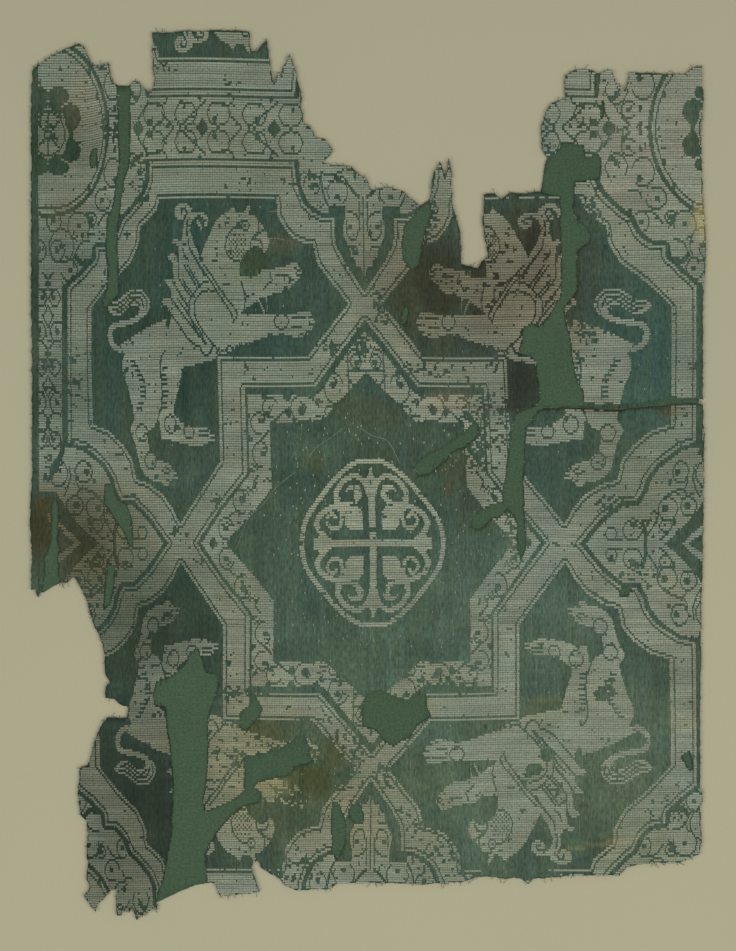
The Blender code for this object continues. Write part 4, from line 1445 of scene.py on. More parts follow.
@dataclass(frozen=True)
class Finishes:
    """The materials of the cloths.

    Attributes:
        warp_pitch: The distance between the ground's warp streaks, in metres.
        pass_pitch: The distance between weft passes, in metres.
        binding_pitch: The distance between the warps that bind the pattern weft, in metres.
        plain_pitch: The support cloth's thread spacing, in metres.
    """

    warp_pitch: float = 0.00062
    pass_pitch: float = 0.001175
    binding_pitch: float = 0.0012
    plain_pitch: float = 0.00055

    def make(self, yarn: Yarn) -> bpy.types.Material:
        """The material of one kind of surface."""
        return {Yarn.GROUND: self.ground, Yarn.FLOAT: self.weft, Yarn.SUPPORT: self.support,
                Yarn.END: self.end}[yarn]()

    def ground(self) -> bpy.types.Material:
        """Warp-faced silk: fine upright streaks of several greens."""
        g = Graph("silk ground")
        wide = g.noise((1000.0, 26.0, 1.0), 2.0)
        fine = g.noise((2300.0, 70.0, 1.0), 1.0, (3.1, 7.7, 0.0))
        grit = g.noise((1050.0, 330.0, 1.0), 4.0, (6.3, 2.9, 0.0))
        picks = g.noise((60.0, 1500.0, 1.0), 2.0, (1.3, 5.9, 0.0))
        cloudy = g.noise((90.0, 60.0, 1.0), 3.0, (9.0, 2.0, 0.0))
        ribs = g.wave("Y", self.pass_pitch, 1.5, cloudy)
        warps = g.wave("X", self.warp_pitch, 3.0, cloudy)
        patchy = g.noise((260.0, 110.0, 1.0), 4.0, (4.0, 12.0, 0.0))
        hairs = ((g.noise((1300.0, 60.0, 1.0), 2.0, (7.0, 1.0, 0.0)) - 0.62) * 6.0).clamped()
        tone = (0.5 * wide + 0.5 * fine - 0.86) + 0.12 * cloudy + 0.04 * ribs
        tone = tone + 0.4 * patchy + 0.8 * hairs + 1.75 * grit + 0.3 * picks
        blueness = ((wide - 0.42) * 3.0).clamped() * 0.35
        cool = g.shaded(g.dye(), tone)
        warm = g.node("ShaderNodeVectorMath", {"operation": "MULTIPLY"},
                      {0: cool, 1: (1.03, 1.0, 0.92)})
        blue = g.node("ShaderNodeVectorMath", {"operation": "MULTIPLY"},
                      {0: cool, 1: (0.95, 1.0, 1.06)})
        colour = g.mixed(blueness + 0.3 * fine, warm, blue)
        height = 0.4 * warps + 0.3 * ribs + 0.3 * fine
        return g.finish(colour, 0.56 + 0.2 * fine, height, 0.00009,
                        {"Specular IOR Level": 0.14})

    def weft(self) -> bpy.types.Material:
        """Thick flat pattern weft, held down by fine warps at even steps."""
        g = Graph("pattern weft")
        cloudy = g.noise((140.0, 140.0, 1.0), 3.0)
        grain = g.noise((1500.0, 3200.0, 1.0), 2.0, (5.0, 1.0, 0.0))
        streak = g.noise((900.0, 9.0, 1.0), 1.0, (2.0, 4.0, 0.0))
        binding = g.wave("X", self.binding_pitch, 2.0, cloudy)
        tied = binding.power(3.0)
        mottle = g.noise((420.0, 520.0, 1.0), 3.0, (11.0, 3.0, 0.0))
        grit = g.noise((1100.0, 900.0, 1.0), 3.0, (3.7, 9.1, 0.0))
        scuff = ((mottle - 0.62) * 4.0).clamped()
        worn = ((0.42 - mottle) * 4.0).clamped()
        tone = (0.74 + 0.22 * grain) + (0.12 * cloudy + 0.16 * streak) - 0.16 * tied
        tone = tone + 0.28 * scuff - 0.26 * worn + (1.2 * grit - 0.58)
        colour = g.shaded(g.dye(), tone)
        height = 0.7 * (1.0 - tied) + 0.3 * grain
        return g.finish(colour, 0.5 + 0.2 * grain, height, 0.00012,
                        {"Specular IOR Level": 0.18})

    def support(self) -> bpy.types.Material:
        """Fine plain weave in matt green."""
        g = Graph("support cloth")
        cloudy = g.noise((60.0, 60.0, 1.0), 3.0)
        slub = g.noise((1300.0, 70.0, 1.0), 2.0, (1.0, 6.0, 0.0))
        pick = g.noise((70.0, 1300.0, 1.0), 2.0, (8.0, 3.0, 0.0))
        over = g.wave("X", self.plain_pitch * 2, 1.0, cloudy)
        under = g.wave("Y", self.plain_pitch * 2, 1.0, cloudy)
        cells = over * under + (1.0 - over) * (1.0 - under)
        grit = g.noise((900.0, 900.0, 1.0), 3.0, (2.6, 8.3, 0.0))
        tone = 0.11 + 0.3 * slub + 0.3 * pick + 0.08 * cells + 0.06 * cloudy + 1.05 * grit
        colour = g.shaded(g.dye(), tone)
        return g.finish(colour, 0.8 + 0.1 * pick, cells * 0.6 + 0.4 * slub, 0.0001,
                        {"Specular IOR Level": 0.16})

    def end(self) -> bpy.types.Material:
        """Loose ends of yarn in their own dye."""
        g = Graph("loose yarn")
        grain = g.noise((2500.0, 2500.0, 2500.0), 2.0)
        colour = g.shaded(g.dye(), 0.8 + 0.4 * grain)
        return g.finish(colour, 0.6 + 0.2 * grain, grain, 0.00005,
                        {"Sheen Weight": 0.1, "Specular IOR Level": 0.3})


# ---------------------------------------------------------------- meshes

def add_top_map(mesh: bpy.types.Mesh, points: np.ndarray) -> None:
    """Give a mesh the map of the panel seen from above, named OFBake.

    Args:
        mesh: The mesh.
        points: Its vertices, in metres.
    """
    lo, hi = points[:, :2].min(0), points[:, :2].max(0)
    layer = mesh.uv_layers.new(name="OFBake")
    corner = np.zeros(len(mesh.loops), np.int32)
    mesh.loops.foreach_get("vertex_index", corner)
    flat = (points[corner, :2] - lo) / np.maximum(hi - lo, 1e-6)
    layer.data.foreach_set("uv", (0.002 + 0.996 * flat).astype(np.float32).ravel())


def make_piece(name: str, points: np.ndarray, faces: Sequence[Sequence[int]],
               dye: np.ndarray, material: bpy.types.Material,
               smooth: bool = True) -> bpy.types.Object:
    """Make a piece from vertices in mm and the colour of each.

    Args:
        name: The piece's name.
        points: Its vertices in mm, in the part's frame.
        faces: Its faces.
        dye: Red, green and blue for each vertex, linear.
        material: Its material.
        smooth: Whether it is shaded smooth.

    Returns:
        The piece.
    """
    mesh = bpy.data.meshes.new(name)
    metres = points * MM
    mesh.from_pydata(metres.tolist(), [], faces)
    colours = mesh.attributes.new("dye", "FLOAT_COLOR", "POINT")
    colours.data.foreach_set("color", np.hstack([dye, np.ones((len(dye), 1))])
                             .astype(np.float32).ravel())
    add_top_map(mesh, metres)
    mesh.materials.append(material)
    mesh.polygons.foreach_set("use_smooth", np.full(len(mesh.polygons), smooth))
    mesh.update()
    piece = bpy.data.objects.new(name, mesh)
    bpy.context.scene.collection.objects.link(piece)
    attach(piece, "root")
    return piece


@dataclass(frozen=True)
class SheetMaker:
    """Makes a thin closed sheet of cloth with a frayed outline.

    Attributes:
        bottom: The height of its underside, in mm.
        thickness: Its thickness, in mm.
        grid: The distance between the vertices inside it, in mm.
        fray: How far its edge wanders sideways, in mm.
        edge_step: The distance between the corners of its edge, in mm.
        margin: How far the inner vertices keep from the edge, in steps of the outline's grid.
        jitter: How far the inner vertices are off their rows, in mm.
        under_share: How much of its upper face's rise its underside has.
    """

    bottom: float
    thickness: float
    grid: float
    fray: float
    edge_step: float = 1.3
    margin: int = 4
    jitter: float = 0.25
    under_share: float = 0.6

    def build(self, name: str, outline: Silhouette, relief: Relief, share: float,
              dyer: Dyer, material: bpy.types.Material,
              rng: np.random.Generator) -> bpy.types.Object:
        """Build the sheet.

        Args:
            name: The piece's name.
            outline: The outline to fill.
            relief: The cloth's rise and fall.
            share: How much of the rise this sheet takes.
            dyer: What gives its colour at each place.
            material: Its material.
            rng: Where its unevenness comes from.

        Returns:
            The sheet.
        """
        loops = outline.frayed(self.fray, self.edge_step, rng)
        co, tri = self.triangles(loops, self.inner_spots(outline, rng))
        return self.close(name, co, tri, relief(co[:, 0], co[:, 1]) * share,
                          dyer(co[:, 0], co[:, 1]), material)

    def inner_spots(self, outline: Silhouette, rng: np.random.Generator) -> list[Spot]:
        """The vertices inside the outline, in slightly uneven rows."""
        xs = np.arange(-PANEL_WIDTH_MM / 2, PANEL_WIDTH_MM / 2, self.grid)
        ys = np.arange(-PANEL_HEIGHT_MM / 2, PANEL_HEIGHT_MM / 2, self.grid)
        gx, gy = (a.ravel() for a in np.meshgrid(xs, ys))
        gx = gx + rng.uniform(-self.jitter, self.jitter, gx.shape)
        gy = gy + rng.uniform(-self.jitter, self.jitter, gy.shape)
        keep = Silhouette.look(outline.shrunk(self.margin), gx, gy)
        return list(zip(gx[keep].tolist(), gy[keep].tolist()))

    def triangles(self, loops: Sequence[np.ndarray],
                  inner: list[Spot]) -> tuple[np.ndarray, np.ndarray]:
        """Fill the loops with triangles.

        Args:
            loops: The edge's loops, in mm.
            inner: The vertices inside them.

        Returns:
            The places of the vertices in mm, and the triangles, all facing up.
        """
        flat = [tuple(p) for loop in loops for p in loop] + inner
        edges, first = [], 0
        for loop in loops:
            count = len(loop)
            edges += [(first + i, first + (i + 1) % count) for i in range(count)]
            first += count
        verts, _, tris, _, _, _ = delaunay_2d_cdt([Vector(p) for p in flat], edges, [], 0, 1e-5)
        co = np.array([tuple(v) for v in verts])
        tri = np.array([t for t in tris if len(t) == 3])
        middle = co[tri].mean(1)
        segments = np.concatenate([np.hstack([loop, np.roll(loop, -1, 0)]) for loop in loops])
        tri = tri[self.within(middle, segments)]
        used, tri = np.unique(tri, return_inverse=True)
        tri = tri.reshape(-1, 3)
        co = co[used]
        a, b, c = (co[tri[:, i]] for i in range(3))
        turned = ((b - a)[:, 0] * (c - a)[:, 1] - (b - a)[:, 1] * (c - a)[:, 0]) < 0
        tri[turned] = tri[turned][:, ::-1]
        return co, tri

    @staticmethod
    def within(spots: np.ndarray, segments: np.ndarray) -> np.ndarray:
        """Whether spots are inside closed loops.

        Args:
            spots: The spots, in mm.
            segments: The loops' sides, each with the x and y of both its ends.

        Returns:
            Whether each spot is inside.
        """
        inside = np.zeros(len(spots), bool)
        order = np.argsort(spots[:, 1])
        heights = spots[order, 1]
        for ax, ay, bx, by in segments:
            if ay == by:
                continue
            lo, hi = np.searchsorted(heights, sorted((ay, by)))
            hit = order[lo:hi]
            at = ax + (spots[hit, 1] - ay) * (bx - ax) / (by - ay)
            inside[hit] ^= spots[hit, 0] < at
        return inside

    def close(self, name: str, co: np.ndarray, tri: np.ndarray, rise: np.ndarray,
              dye: np.ndarray, material: bpy.types.Material) -> bpy.types.Object:
        """Give the sheet its thickness and its edge.

        Args:
            name: The piece's name.
            co: Its places, in mm.
            tri: Its triangles, all turned the same way.
            rise: How far each place rises, in mm.
            dye: The colour of each place.
            material: Its material.

        Returns:
            The sheet.
        """
        count = len(co)
        top = np.column_stack([co, self.bottom + self.thickness + rise])
        under = np.column_stack([co, self.bottom + rise * self.under_share])
        sides = {(t[k], t[(k + 1) % 3]): True for t in tri.tolist() for k in range(3)}
        rim = [(a, b) for a, b in sides if (b, a) not in sides]
        faces = tri.tolist() + (tri[:, ::-1] + count).tolist()
        faces += [(b, a, a + count, b + count) for a, b in rim]
        points = np.vstack([top, under])
        return make_piece(name, points, faces, np.vstack([dye, dye]), material)


class Wear:
    """Where the pattern weft has worn off the ground."""

    BLOTS: tuple[Blot, ...] = tuple(Blot(*row) for row in (
        # across, up, half width, half height, amount
        (90, -139.5, 5, 3.4, 1.0), (-134, -52, 10, 16, 0.4), (98, 132, 10, 14, 0.55),
        (112, 118, 8, 30, 0.5), (-2, 66, 5, 10, 0.6), (30, 54, 16, 5, 0.45), (66, 118, 16, 8, 0.3),
        (60, 96, 18, 14, 0.3), (30, 130, 7, 14, 0.5), (-8, -100, 12, 6, 0.6), (-66, -108, 22, 4, 0.5),
        (-118, 92, 3, 10, 0.4), (-40, 92, 5, 10, 0.35), (-32, 66, 6, 6, 0.6), (-48, -44, 6, 20, 0.45),
        (-34, -68, 10, 6, 0.5), (-62, -28, 8, 14, 0.4), (68, 30, 10, 16, 0.5), (-128, 176, 8, 10, 0.6),
        (-112, 150, 4, 20, 0.5), (-16, -152, 12, 8, 0.55), (10, -150, 8, 8, 0.5), (28, -176, 12, 6, 0.4),
        (134, 176, 16, 8, 0.35), (82.5, -147, 4.4, 4.0, 1.0), (118, -109.5, 6, 4.4, 1.0),
        (-16, 63, 8, 5, 0.5), (6, 84, 5, 10, 0.55), (62, 58, 4, 9, 0.6), (92, 153, 18, 10, 0.35),
        (28, 92, 14, 18, 0.25), (-24, -142, 30, 22, 0.45), (-60, -140, 20, 14, 0.4),
        (-120, 54, 3, 16, 0.3), (22, -72, 14, 6, 0.5), (-18, -110, 14, 5, 0.4), (40, -104, 18, 6, 0.5),
        (-34, -160, 14, 20, 0.6), (120, -14, 8, 5, 0.6), (138, -50, 6, 8, 0.4), (56, 24, 12, 26, 0.5),
        (70, -24, 10, 22, 0.45), (-136, -36, 14, 20, 0.15), (-112, -90, 14, 22, 0.3),
        (42, -190, 26, 12, 0.4), (-42, -196, 22, 8, 0.5), (108, 90, 10, 30, 0.5),
        (150, -168, 16, 12, 0.3), (-30, 148, 14, 8, 0.35), (75, -199.5, 30, 3.4, 1.0),
        (77, 141, 22, 2.8, 1.0)))
    EVERYWHERE_FROM: float = 0.6
    EVERYWHERE_MOST: float = 0.5
    THOROUGH: float = 0.86
    SPARE: float = 0.06

    def __init__(self, chance: Chance) -> None:
        """Keep the source of unevenness."""
        self.chance = chance

    def lost(self, x: np.ndarray, y: np.ndarray) -> np.ndarray:
        """Where the float is gone.

        Args:
            x: Places across, in mm.
            y: Places up, in mm.

        Returns:
            Whether it is gone at each place.
        """
        uneven = self.chance.rough(x, y, 7.0)
        fine = self.chance(x, y, 1.4, 1.3)
        amount = np.zeros(x.shape)
        for blot in self.BLOTS:
            amount = np.maximum(amount, blot.at(x, y, uneven))
        general = np.clip((uneven - self.EVERYWHERE_FROM) * 2.2, 0, self.EVERYWHERE_MOST)
        return fine > 1.0 - self.THOROUGH * np.maximum(amount, general) ** 1.3 - self.SPARE


@dataclass(frozen=True)
class FloatMaker:
    """Turns the chart's pale runs into floats of weft that lie on the ground.

    Attributes:
        width: A float's width at its foot, in mm.
        crown: Its width at its top, in mm.
        height: Its height, in mm.
        lift: The height of its foot above the part's underside, in mm.
        longest: The longest stretch without a bend, in mm.
        bands: How many pieces the floats are divided into, from the foot up.
        widest: How far the passes go to each side in the design, in mm.
        lowest: The height in the design of the lowest pass, in mm.
        highest: The height in the design of the highest pass, in mm.
        ragged: How far a float's end wanders along the pass, in mm.
    """

    width: float = 1.04
    crown: float = 0.7
    height: float = 0.24
    lift: float = 1.56
    longest: float = 8.0
    bands: int = 4
    widest: float = 170.5
    lowest: float = -204.0
    highest: float = 258.0
    ragged: float = 0.14

    def runs(self, design: Design, lie: Lie, allowed: np.ndarray, wear: Wear,
             rng: np.random.Generator) -> list[Run]:
        """Every float's middle line, in mm.

        Args:
            design: The woven design.
            lie: How it lies on the cloth.
            allowed: The grid of places where silk is.
            wear: What has been worn off.
            rng: Where chance comes from.

        Returns:
            For each float, the x and y of the points along it.
        """
        cols = np.arange(-self.widest, self.widest + 0.01, CELL)
        index = np.round(np.abs(cols) / CELL).astype(int)
        made = []
        for number in range(int(self.lowest / PASS), int(self.highest / PASS) + 1):
            up = number * PASS
            x, y = lie(cols, np.full(cols.shape, up))
            pale = design.row(up)[index] & Silhouette.look(allowed, x, y)
            pale &= ~wear.lost(x, y)
            steps = np.flatnonzero(np.diff(np.concatenate([[0], pale.astype(int), [0]])))
            for start, stop in zip(steps[::2], steps[1::2]):
                ends = np.array([start - 0.5, stop - 0.5])
                parts = max(1, int(math.ceil((stop - start) * CELL / self.longest)))
                at = np.linspace(ends[0], ends[1], parts + 1)
                places = np.interp(at, np.arange(len(cols)), x)
                ups = np.interp(at, np.arange(len(cols)), y)
                places[0] += 0.06 + rng.uniform(-self.ragged, self.ragged)
                places[-1] -= 0.06 + rng.uniform(-self.ragged, self.ragged)
                made.append((places, ups))
        return made

    def specks(self, runs: list[Run], allowed: np.ndarray, rng: np.random.Generator,
               places: Sequence[Blot], count: int) -> None:
        """Add short broken bits of float scattered over the ground.

        Args:
            runs: The floats so far, added to.
            allowed: The grid of places where silk is.
            rng: Where chance comes from.
            places: Where the bits are thickest.
            count: How many are tried in each place.
        """
        for blot in places:
            for _ in range(int(count * blot.amount)):
                x = blot.x + rng.normal() * blot.wide * 0.6
                y = blot.y + rng.normal() * blot.tall * 0.6
                long = rng.uniform(0.2, 0.6)
                ends = np.array([x, x + long])
                if Silhouette.look(allowed, ends, np.array([y, y])).all():
                    runs.append((ends, np.array([y, y + rng.uniform(-0.08, 0.08)])))

    def build(self, runs: list[Run], relief: Relief,
              dyeing: Dyeing, material: bpy.types.Material,
              rng: np.random.Generator) -> list[bpy.types.Object]:
        """Build the floats as joined meshes.

        Args:
            runs: The floats' middle lines.
            relief: The cloth's rise and fall.
            dyeing: What gives their colour.
            material: Their material.
            rng: Where their unevenness comes from.

        Returns:
            The pieces.
        """
        heights = np.array([run[1][0] for run in runs])
        limits = np.quantile(heights, np.linspace(0, 1, self.bands + 1))
        pieces = []
        for band in range(self.bands):
            last = band == self.bands - 1
            chosen = [runs[i] for i in np.flatnonzero(
                (heights >= limits[band]) & ((heights < limits[band + 1]) | last))]
            pieces.append(self.join(f"pattern_weft_{band + 1}", chosen, relief, dyeing,
                                    material, rng))
        return pieces

    def join(self, name: str, runs: list[Run], relief: Relief, dyeing: Dyeing,
             material: bpy.types.Material, rng: np.random.Generator) -> bpy.types.Object:
        """One piece of many floats, each a low closed ridge.

        Args:
            name: The piece's name.
            runs: The floats' middle lines.
            relief: The cloth's rise and fall.
            dyeing: What gives their colour.
            material: Their material.
            rng: Where their unevenness comes from.

        Returns:
            The piece.
        """
        xs = np.concatenate([run[0] for run in runs])
        ys = np.concatenate([run[1] for run in runs])
        counts = np.array([len(run[0]) for run in runs])
        owner = np.repeat(np.arange(len(runs)), counts)
        ys = ys + rng.normal(0, 0.035, len(runs))[owner]
        wide = self.width * (1 + rng.normal(0, 0.05, len(runs))[owner])
        crown = self.crown * (1 + rng.normal(0, 0.06, len(runs))[owner])
        tone = (1 + rng.normal(0, 0.055, len(runs)))[owner]
        rise = relief(xs, ys) + self.lift
        top = rise + self.height * (1 + rng.normal(0, 0.08, len(runs))[owner])
        corners = np.stack([
            np.column_stack([xs, ys - wide / 2, rise]), np.column_stack([xs, ys - crown / 2, top]),
            np.column_stack([xs, ys + crown / 2, top]),
            np.column_stack([xs, ys + wide / 2, rise])], 1)
        dye = dyeing.floats(xs, ys) * tone[:, None]
        points, colours = corners.reshape(-1, 3), np.repeat(dye, 4, 0)
        faces: list[tuple[int, ...]] = []
        first = 0
        for count in counts.tolist():
            base = first * 4
            faces.append((base, base + 1, base + 2, base + 3))
            for part in range(count - 1):
                a, b = base + part * 4, base + part * 4 + 4
                for side in range(4):
                    nxt = (side + 1) % 4
                    faces.append((a + side, b + side, b + nxt, a + nxt))
            end = base + (count - 1) * 4
            faces.append((end + 3, end + 2, end + 1, end))
            first += count
        return make_piece(name, points, faces, colours, material, False)


@dataclass(frozen=True)
class Strand:
    """One end of yarn or one loose thread.

    Attributes:
        line: The points along it, in mm.
        half: Its half thickness, in mm.
        warp: Whether it has the ground's colour, and not the pattern weft's.
        loose: Whether it is a long thread lying on the silk, and not an end that droops.
    """

    line: np.ndarray
    half: float
    warp: bool = False
    loose: bool = False


@dataclass(frozen=True)
class EndMaker:
    """Makes the frayed ends of yarn along the torn edges, and the loose threads.

    Attributes:
        thickness: A yarn's half thickness, in mm.
        spacing: About how far apart the ends are, in mm.
        longest: The longest end, in mm.
        shortest: The shortest end, in mm.
        tucked: How far an end starts inside the edge, in mm.
        lift: The height of an end's middle line above the part's underside, in mm.
        droop: How far an end's tip hangs down, in mm.
        thread_lift: How much higher a loose thread lies, in mm.
        sides: How many sides a yarn has.
    """

    thickness: float = 0.13
    spacing: float = 2.6
    longest: float = 2.6
    shortest: float = 0.7
    tucked: float = 0.4
    lift: float = 1.52
    droop: float = 0.5
    thread_lift: float = 0.22
    sides: int = 3

    def tube(self, path: np.ndarray, half: float) -> tuple[np.ndarray, list[tuple[int, ...]]]:
        """A thin closed tube along a path in mm.

        Args:
            path: The points along it.
            half: Its half thickness.

        Returns:
            Its vertices and faces.
        """
        along = np.gradient(path, axis=0)
        along /= np.maximum(np.linalg.norm(along, axis=1, keepdims=True), 1e-9)
        side = np.cross(along, (0.0, 0.0, 1.0))
        side /= np.maximum(np.linalg.norm(side, axis=1, keepdims=True), 1e-9)
        above = np.cross(side, along)
        turns = [2 * math.pi * k / self.sides + math.pi / 2 for k in range(self.sides)]
        points = [path[i] + half * (math.cos(turn) * side[i] + math.sin(turn) * above[i])
                  for i in range(len(path)) for turn in turns]
        faces: list[tuple[int, ...]] = [tuple(range(self.sides))]
        for i in range(len(path) - 1):
            for k in range(self.sides):
                a, b = i * self.sides + k, i * self.sides + (k + 1) % self.sides
                faces.append((a, a + self.sides, b + self.sides, b))
        end = (len(path) - 1) * self.sides
        faces.append(tuple(end + k for k in reversed(range(self.sides))))
        return np.array(points), faces

    def ends_along(self, a: np.ndarray, b: np.ndarray, rng: np.random.Generator) -> list[Strand]:
        """The ends of yarn that stick out of one stretch of edge.

        Args:
            a: Where the stretch starts, in mm.
            b: Where it ends.
            rng: Where chance comes from.

        Returns:
            The ends, upright ones in the warp and level ones in the weft.
        """
        made = []
        length = float(np.hypot(*(b - a)))
        out = np.array([(b - a)[1], -(b - a)[0]]) / max(length, 1e-6)
        upright = bool(abs(out[1]) > abs(out[0]))
        for _ in range(rng.poisson(length / self.spacing)):
            start = a + (b - a) * rng.random() - out * self.tucked
            reach = self.longest * rng.random() ** 2.2 + self.shortest
            lean = rng.normal() * 0.25
            way = np.array([lean, np.sign(out[1])] if upright else [np.sign(out[0]), lean])
            reach *= 1.0 if upright else 0.55
            bend = rng.normal() * 0.3
            aside = np.array([-way[1], way[0]])
            line = [start + way * reach * t + aside * bend * reach * t * t
                    for t in (0, 0.4, 0.75, 1)]
            made.append(Strand(np.array(line), self.thickness, upright))
        return made

    def build(self, outlines: Sequence[Silhouette], relief: Relief, dyeing: Dyeing,
              threads: Sequence[Sequence[Spot]],
              material: bpy.types.Material, rng: np.random.Generator) -> bpy.types.Object:
        """Build every end and thread as one joined mesh.

        Args:
            outlines: The silk pieces' outlines.
            relief: The cloth's rise and fall.
            dyeing: What gives their colour.
            threads: The paths of longer loose threads, in mm.
            material: Their material.
            rng: Where chance comes from.

        Returns:
            The piece.
        """
        strands = [strand for outline in outlines for loop in outline.loops
                   for a, b in zip(loop, np.roll(loop, -1, 0))
                   for strand in self.ends_along(a, b, rng)]
        strands += [Strand(np.array(smooth_path(thread, False, 8)), self.thickness * 0.9,
                           loose=True) for thread in threads]
        points, faces, dyes, total = [], [], [], 0
        for strand in strands:
            line = strand.line
            fall = -self.thread_lift if strand.loose else np.linspace(0, self.droop, len(line))
            z = relief(line[:, 0], line[:, 1]) + self.lift - fall
            got, made = self.tube(np.column_stack([line, z]), strand.half)
            points.append(got)
            faces += [tuple(v + total for v in face) for face in made]
            total += len(got)
            dyer = dyeing.ground if strand.warp else dyeing.floats
            dyes.append(dyer(got[:, 0], got[:, 1]) * rng.uniform(0.9, 1.6))
        return make_piece("frayed_ends", np.vstack(points), faces, np.vstack(dyes), material)


# ---------------------------------------------------------------- the scene round it

@dataclass(frozen=True)
class Setting:
    """The floor, the lights and the camera.

    Attributes:
        floor_half: The floor's half width, in metres.
        view_height: The height of floor that the view takes in, in metres.
        lens: The camera's lens, in mm.
        sensor: The camera's sensor along the image's longer side, in mm.
        sky: The strength of the even sky.
        lamp_place: How far to the side, forwards and up each light is, in metres.
        lamp_size: Each light's width and length, in metres.
    """

    floor_half: float = 3.0
    view_height: float = 0.4755
    lens: float = 100.0
    sensor: float = 36.0
    sky: float = 0.34
    lamp_place: tuple[float, float, float] = (0.75, -0.35, 1.45)
    lamp_size: tuple[float, float] = (0.8, 1.4)

    def build(self) -> None:
        """Build the floor, the lights and the camera."""
        self.build_floor()
        self.build_lights()
        self.build_camera()

    def build_floor(self) -> None:
        """A plain pale floor with a faint even texture."""
        bpy.ops.object.select_all(action="DESELECT")
        bpy.ops.mesh.primitive_plane_add(size=2 * self.floor_half, location=(0, 0, -0.0002))
        floor = bpy.context.active_object
        floor.name = "floor"
        bpy.ops.object.transform_apply(location=True, rotation=True, scale=True)
        g = Graph("pale floor")
        cloudy = g.noise((4.0, 4.0, 1.0), 2.0)
        grain = g.noise((900.0, 1400.0, 1.0), 2.0, (1.0, 2.0, 0.0))
        base = g.mixed(cloudy, (*linear((155, 152, 127)), 1.0), (*linear((160, 156, 130)), 1.0))
        colour = g.shaded(base, 0.955 + 0.09 * grain)
        floor.data.materials.append(g.finish(colour, 0.85 + 0.05 * grain, grain, 0.00006,
                                             {"Specular IOR Level": 0.2}))

    def build_lights(self) -> None:
        """Two broad soft lights, one at each side, under an even sky."""
        world = bpy.data.worlds.new("studio")
        bpy.context.scene.world = world
        world.use_nodes = True
        sky = world.node_tree.nodes["Background"]
        sky.inputs["Color"].default_value = (1.0, 0.99, 0.97, 1)
        sky.inputs["Strength"].default_value = self.sky
        for name, side, power in (("left", -1.0, 14.0), ("right", 1.0, 17.0)):
            lamp = bpy.data.lights.new(f"soft light {name}", "AREA")
            lamp.shape = "RECTANGLE"
            lamp.size, lamp.size_y = self.lamp_size
            lamp.energy = power
            lamp.color = (1.0, 0.99, 0.98)
            holder = bpy.data.objects.new(f"soft light {name}", lamp)
            across, forwards, height = self.lamp_place
            holder.location = (side * across, forwards, height)
            aim = -Vector(holder.location)
            holder.rotation_euler = aim.to_track_quat("-Z", "Y").to_euler()
            bpy.context.scene.collection.objects.link(holder)

    def build_camera(self) -> None:
        """A camera straight above the middle of the panel."""
        data = bpy.data.cameras.new("camera")
        data.lens = self.lens
        data.sensor_width = self.sensor
        data.clip_start, data.clip_end = 0.05, 20.0
        camera = bpy.data.objects.new("camera", data)
        camera.location = (0, 0, self.view_height / 2 * self.lens / (self.sensor / 2) + 0.002)
        bpy.context.scene.collection.objects.link(camera)
        bpy.context.scene.camera = camera
        bpy.context.scene.view_settings.view_transform = "Standard"


THREADS: tuple[tuple[Spot, ...], ...] = (
    ((-66, -37), (-60, -22), (-52, -14), (-46, -6), (-36, 2)),
    ((-30, 8), (-26, 14), (-20, 18), (-12, 24)),
    ((-4, 24), (2, 20), (10, 17), (16, 6)),
    ((-50, 132), (-40, 132.6), (-34, 133.4)),
    ((78, 33.6), (96, 34.4), (120, 33.4), (140, 34.6)),
    ((-2, 88), (4, 80), (10, 74)),
    ((60, -154), (72, -146), (84, -138), (96, -134)),
    ((-58, 92), (-50, 90), (-44, 96), (-38, 92)),
    ((-66, 116), (-50, 118.6), (-42, 118)))

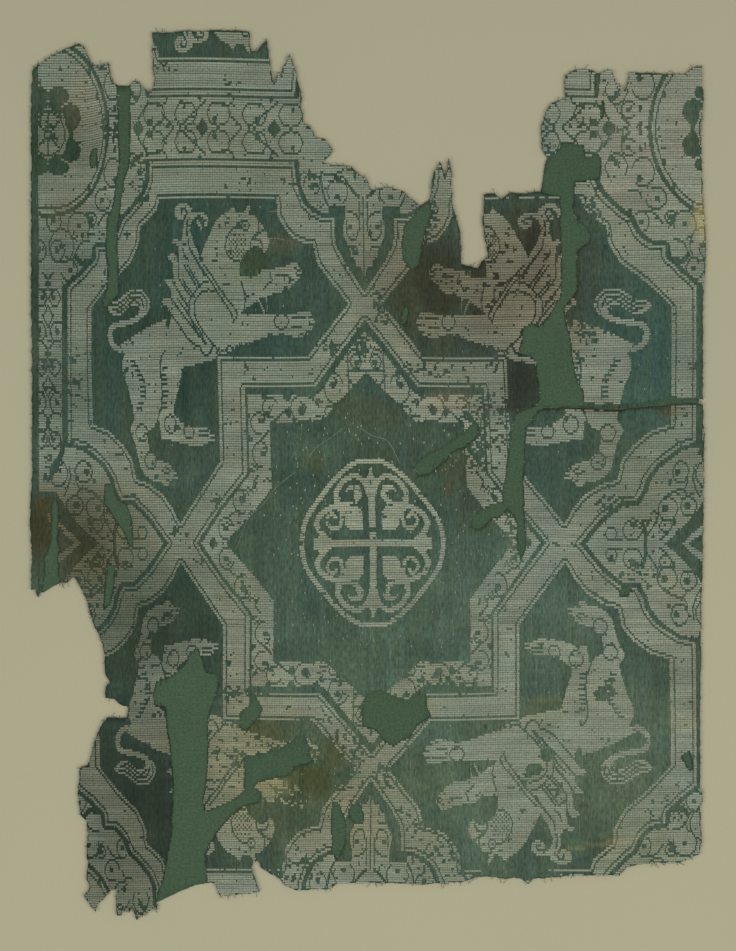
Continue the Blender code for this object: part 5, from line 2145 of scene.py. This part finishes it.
SPECKLED: tuple[Blot, ...] = tuple(Blot(*row) for row in (
    # across, up, half width, half height, amount
    (-20, 22, 40, 30, 1.0), (40, 10, 34, 34, 1.0), (50, -40, 30, 34, 1.0), (-10, -70, 46, 22, 1.0),
    (-40, -20, 24, 40, 0.7), (-84, 90, 40, 34, 0.4), (60, -110, 30, 20, 0.4), (-20, -140, 40, 20, 0.6),
    (120, 60, 24, 30, 0.3), (96, -150, 40, 30, 0.3)))


SPECKS_A_PLACE = 60


def main() -> None:
    """Build the cloths from the surface upwards, then the scene round them."""
    logging.basicConfig(level=logging.INFO)
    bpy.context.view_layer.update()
    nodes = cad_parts
    chance = Chance(21)
    dyeing, relief, finishes = Dyeing(chance), Relief(chance), Finishes()
    rng = np.random.default_rng(5)
    outlines = {name: Silhouette(nodes[name])
                for name in ("support_cloth", "silk_panel", "silk_upper_piece")}

    support = SheetMaker(bottom=0.0, thickness=0.95, grid=3.0, fray=0.15).build(
        "support_cloth_woven", outlines["support_cloth"], relief, 0.3, dyeing.support,
        finishes.make(Yarn.SUPPORT), rng)
    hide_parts("support_cloth")
    log.info("built %s", support.name)

    ground_material = finishes.make(Yarn.GROUND)
    silk_maker = SheetMaker(bottom=1.12, thickness=0.42, grid=1.9, fray=0.3)
    for name in ("silk_panel", "silk_upper_piece"):
        piece = silk_maker.build(f"{name}_ground", outlines[name], relief, 1.0, dyeing.ground,
                                 ground_material, rng)
        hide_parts(name)
        log.info("built %s", piece.name)

    design, lie, wear = Design(), Lie(), Wear(chance)
    allowed = outlines["silk_panel"].shrunk(1) | outlines["silk_upper_piece"].shrunk(1)
    maker = FloatMaker()
    runs = maker.runs(design, lie, allowed, wear, rng)
    maker.specks(runs, allowed, rng, SPECKLED, SPECKS_A_PLACE)
    wefts = maker.build(runs, relief, dyeing, finishes.make(Yarn.FLOAT), rng)
    for weft in wefts:
        log.info("built %s with %d faces", weft.name, len(weft.data.polygons))

    ends = EndMaker().build([outlines["silk_panel"], outlines["silk_upper_piece"]], relief,
                            dyeing, THREADS, finishes.make(Yarn.END), rng)
    log.info("built %s", ends.name)

    Setting().build()


if __name__ == "__main__":
    main()
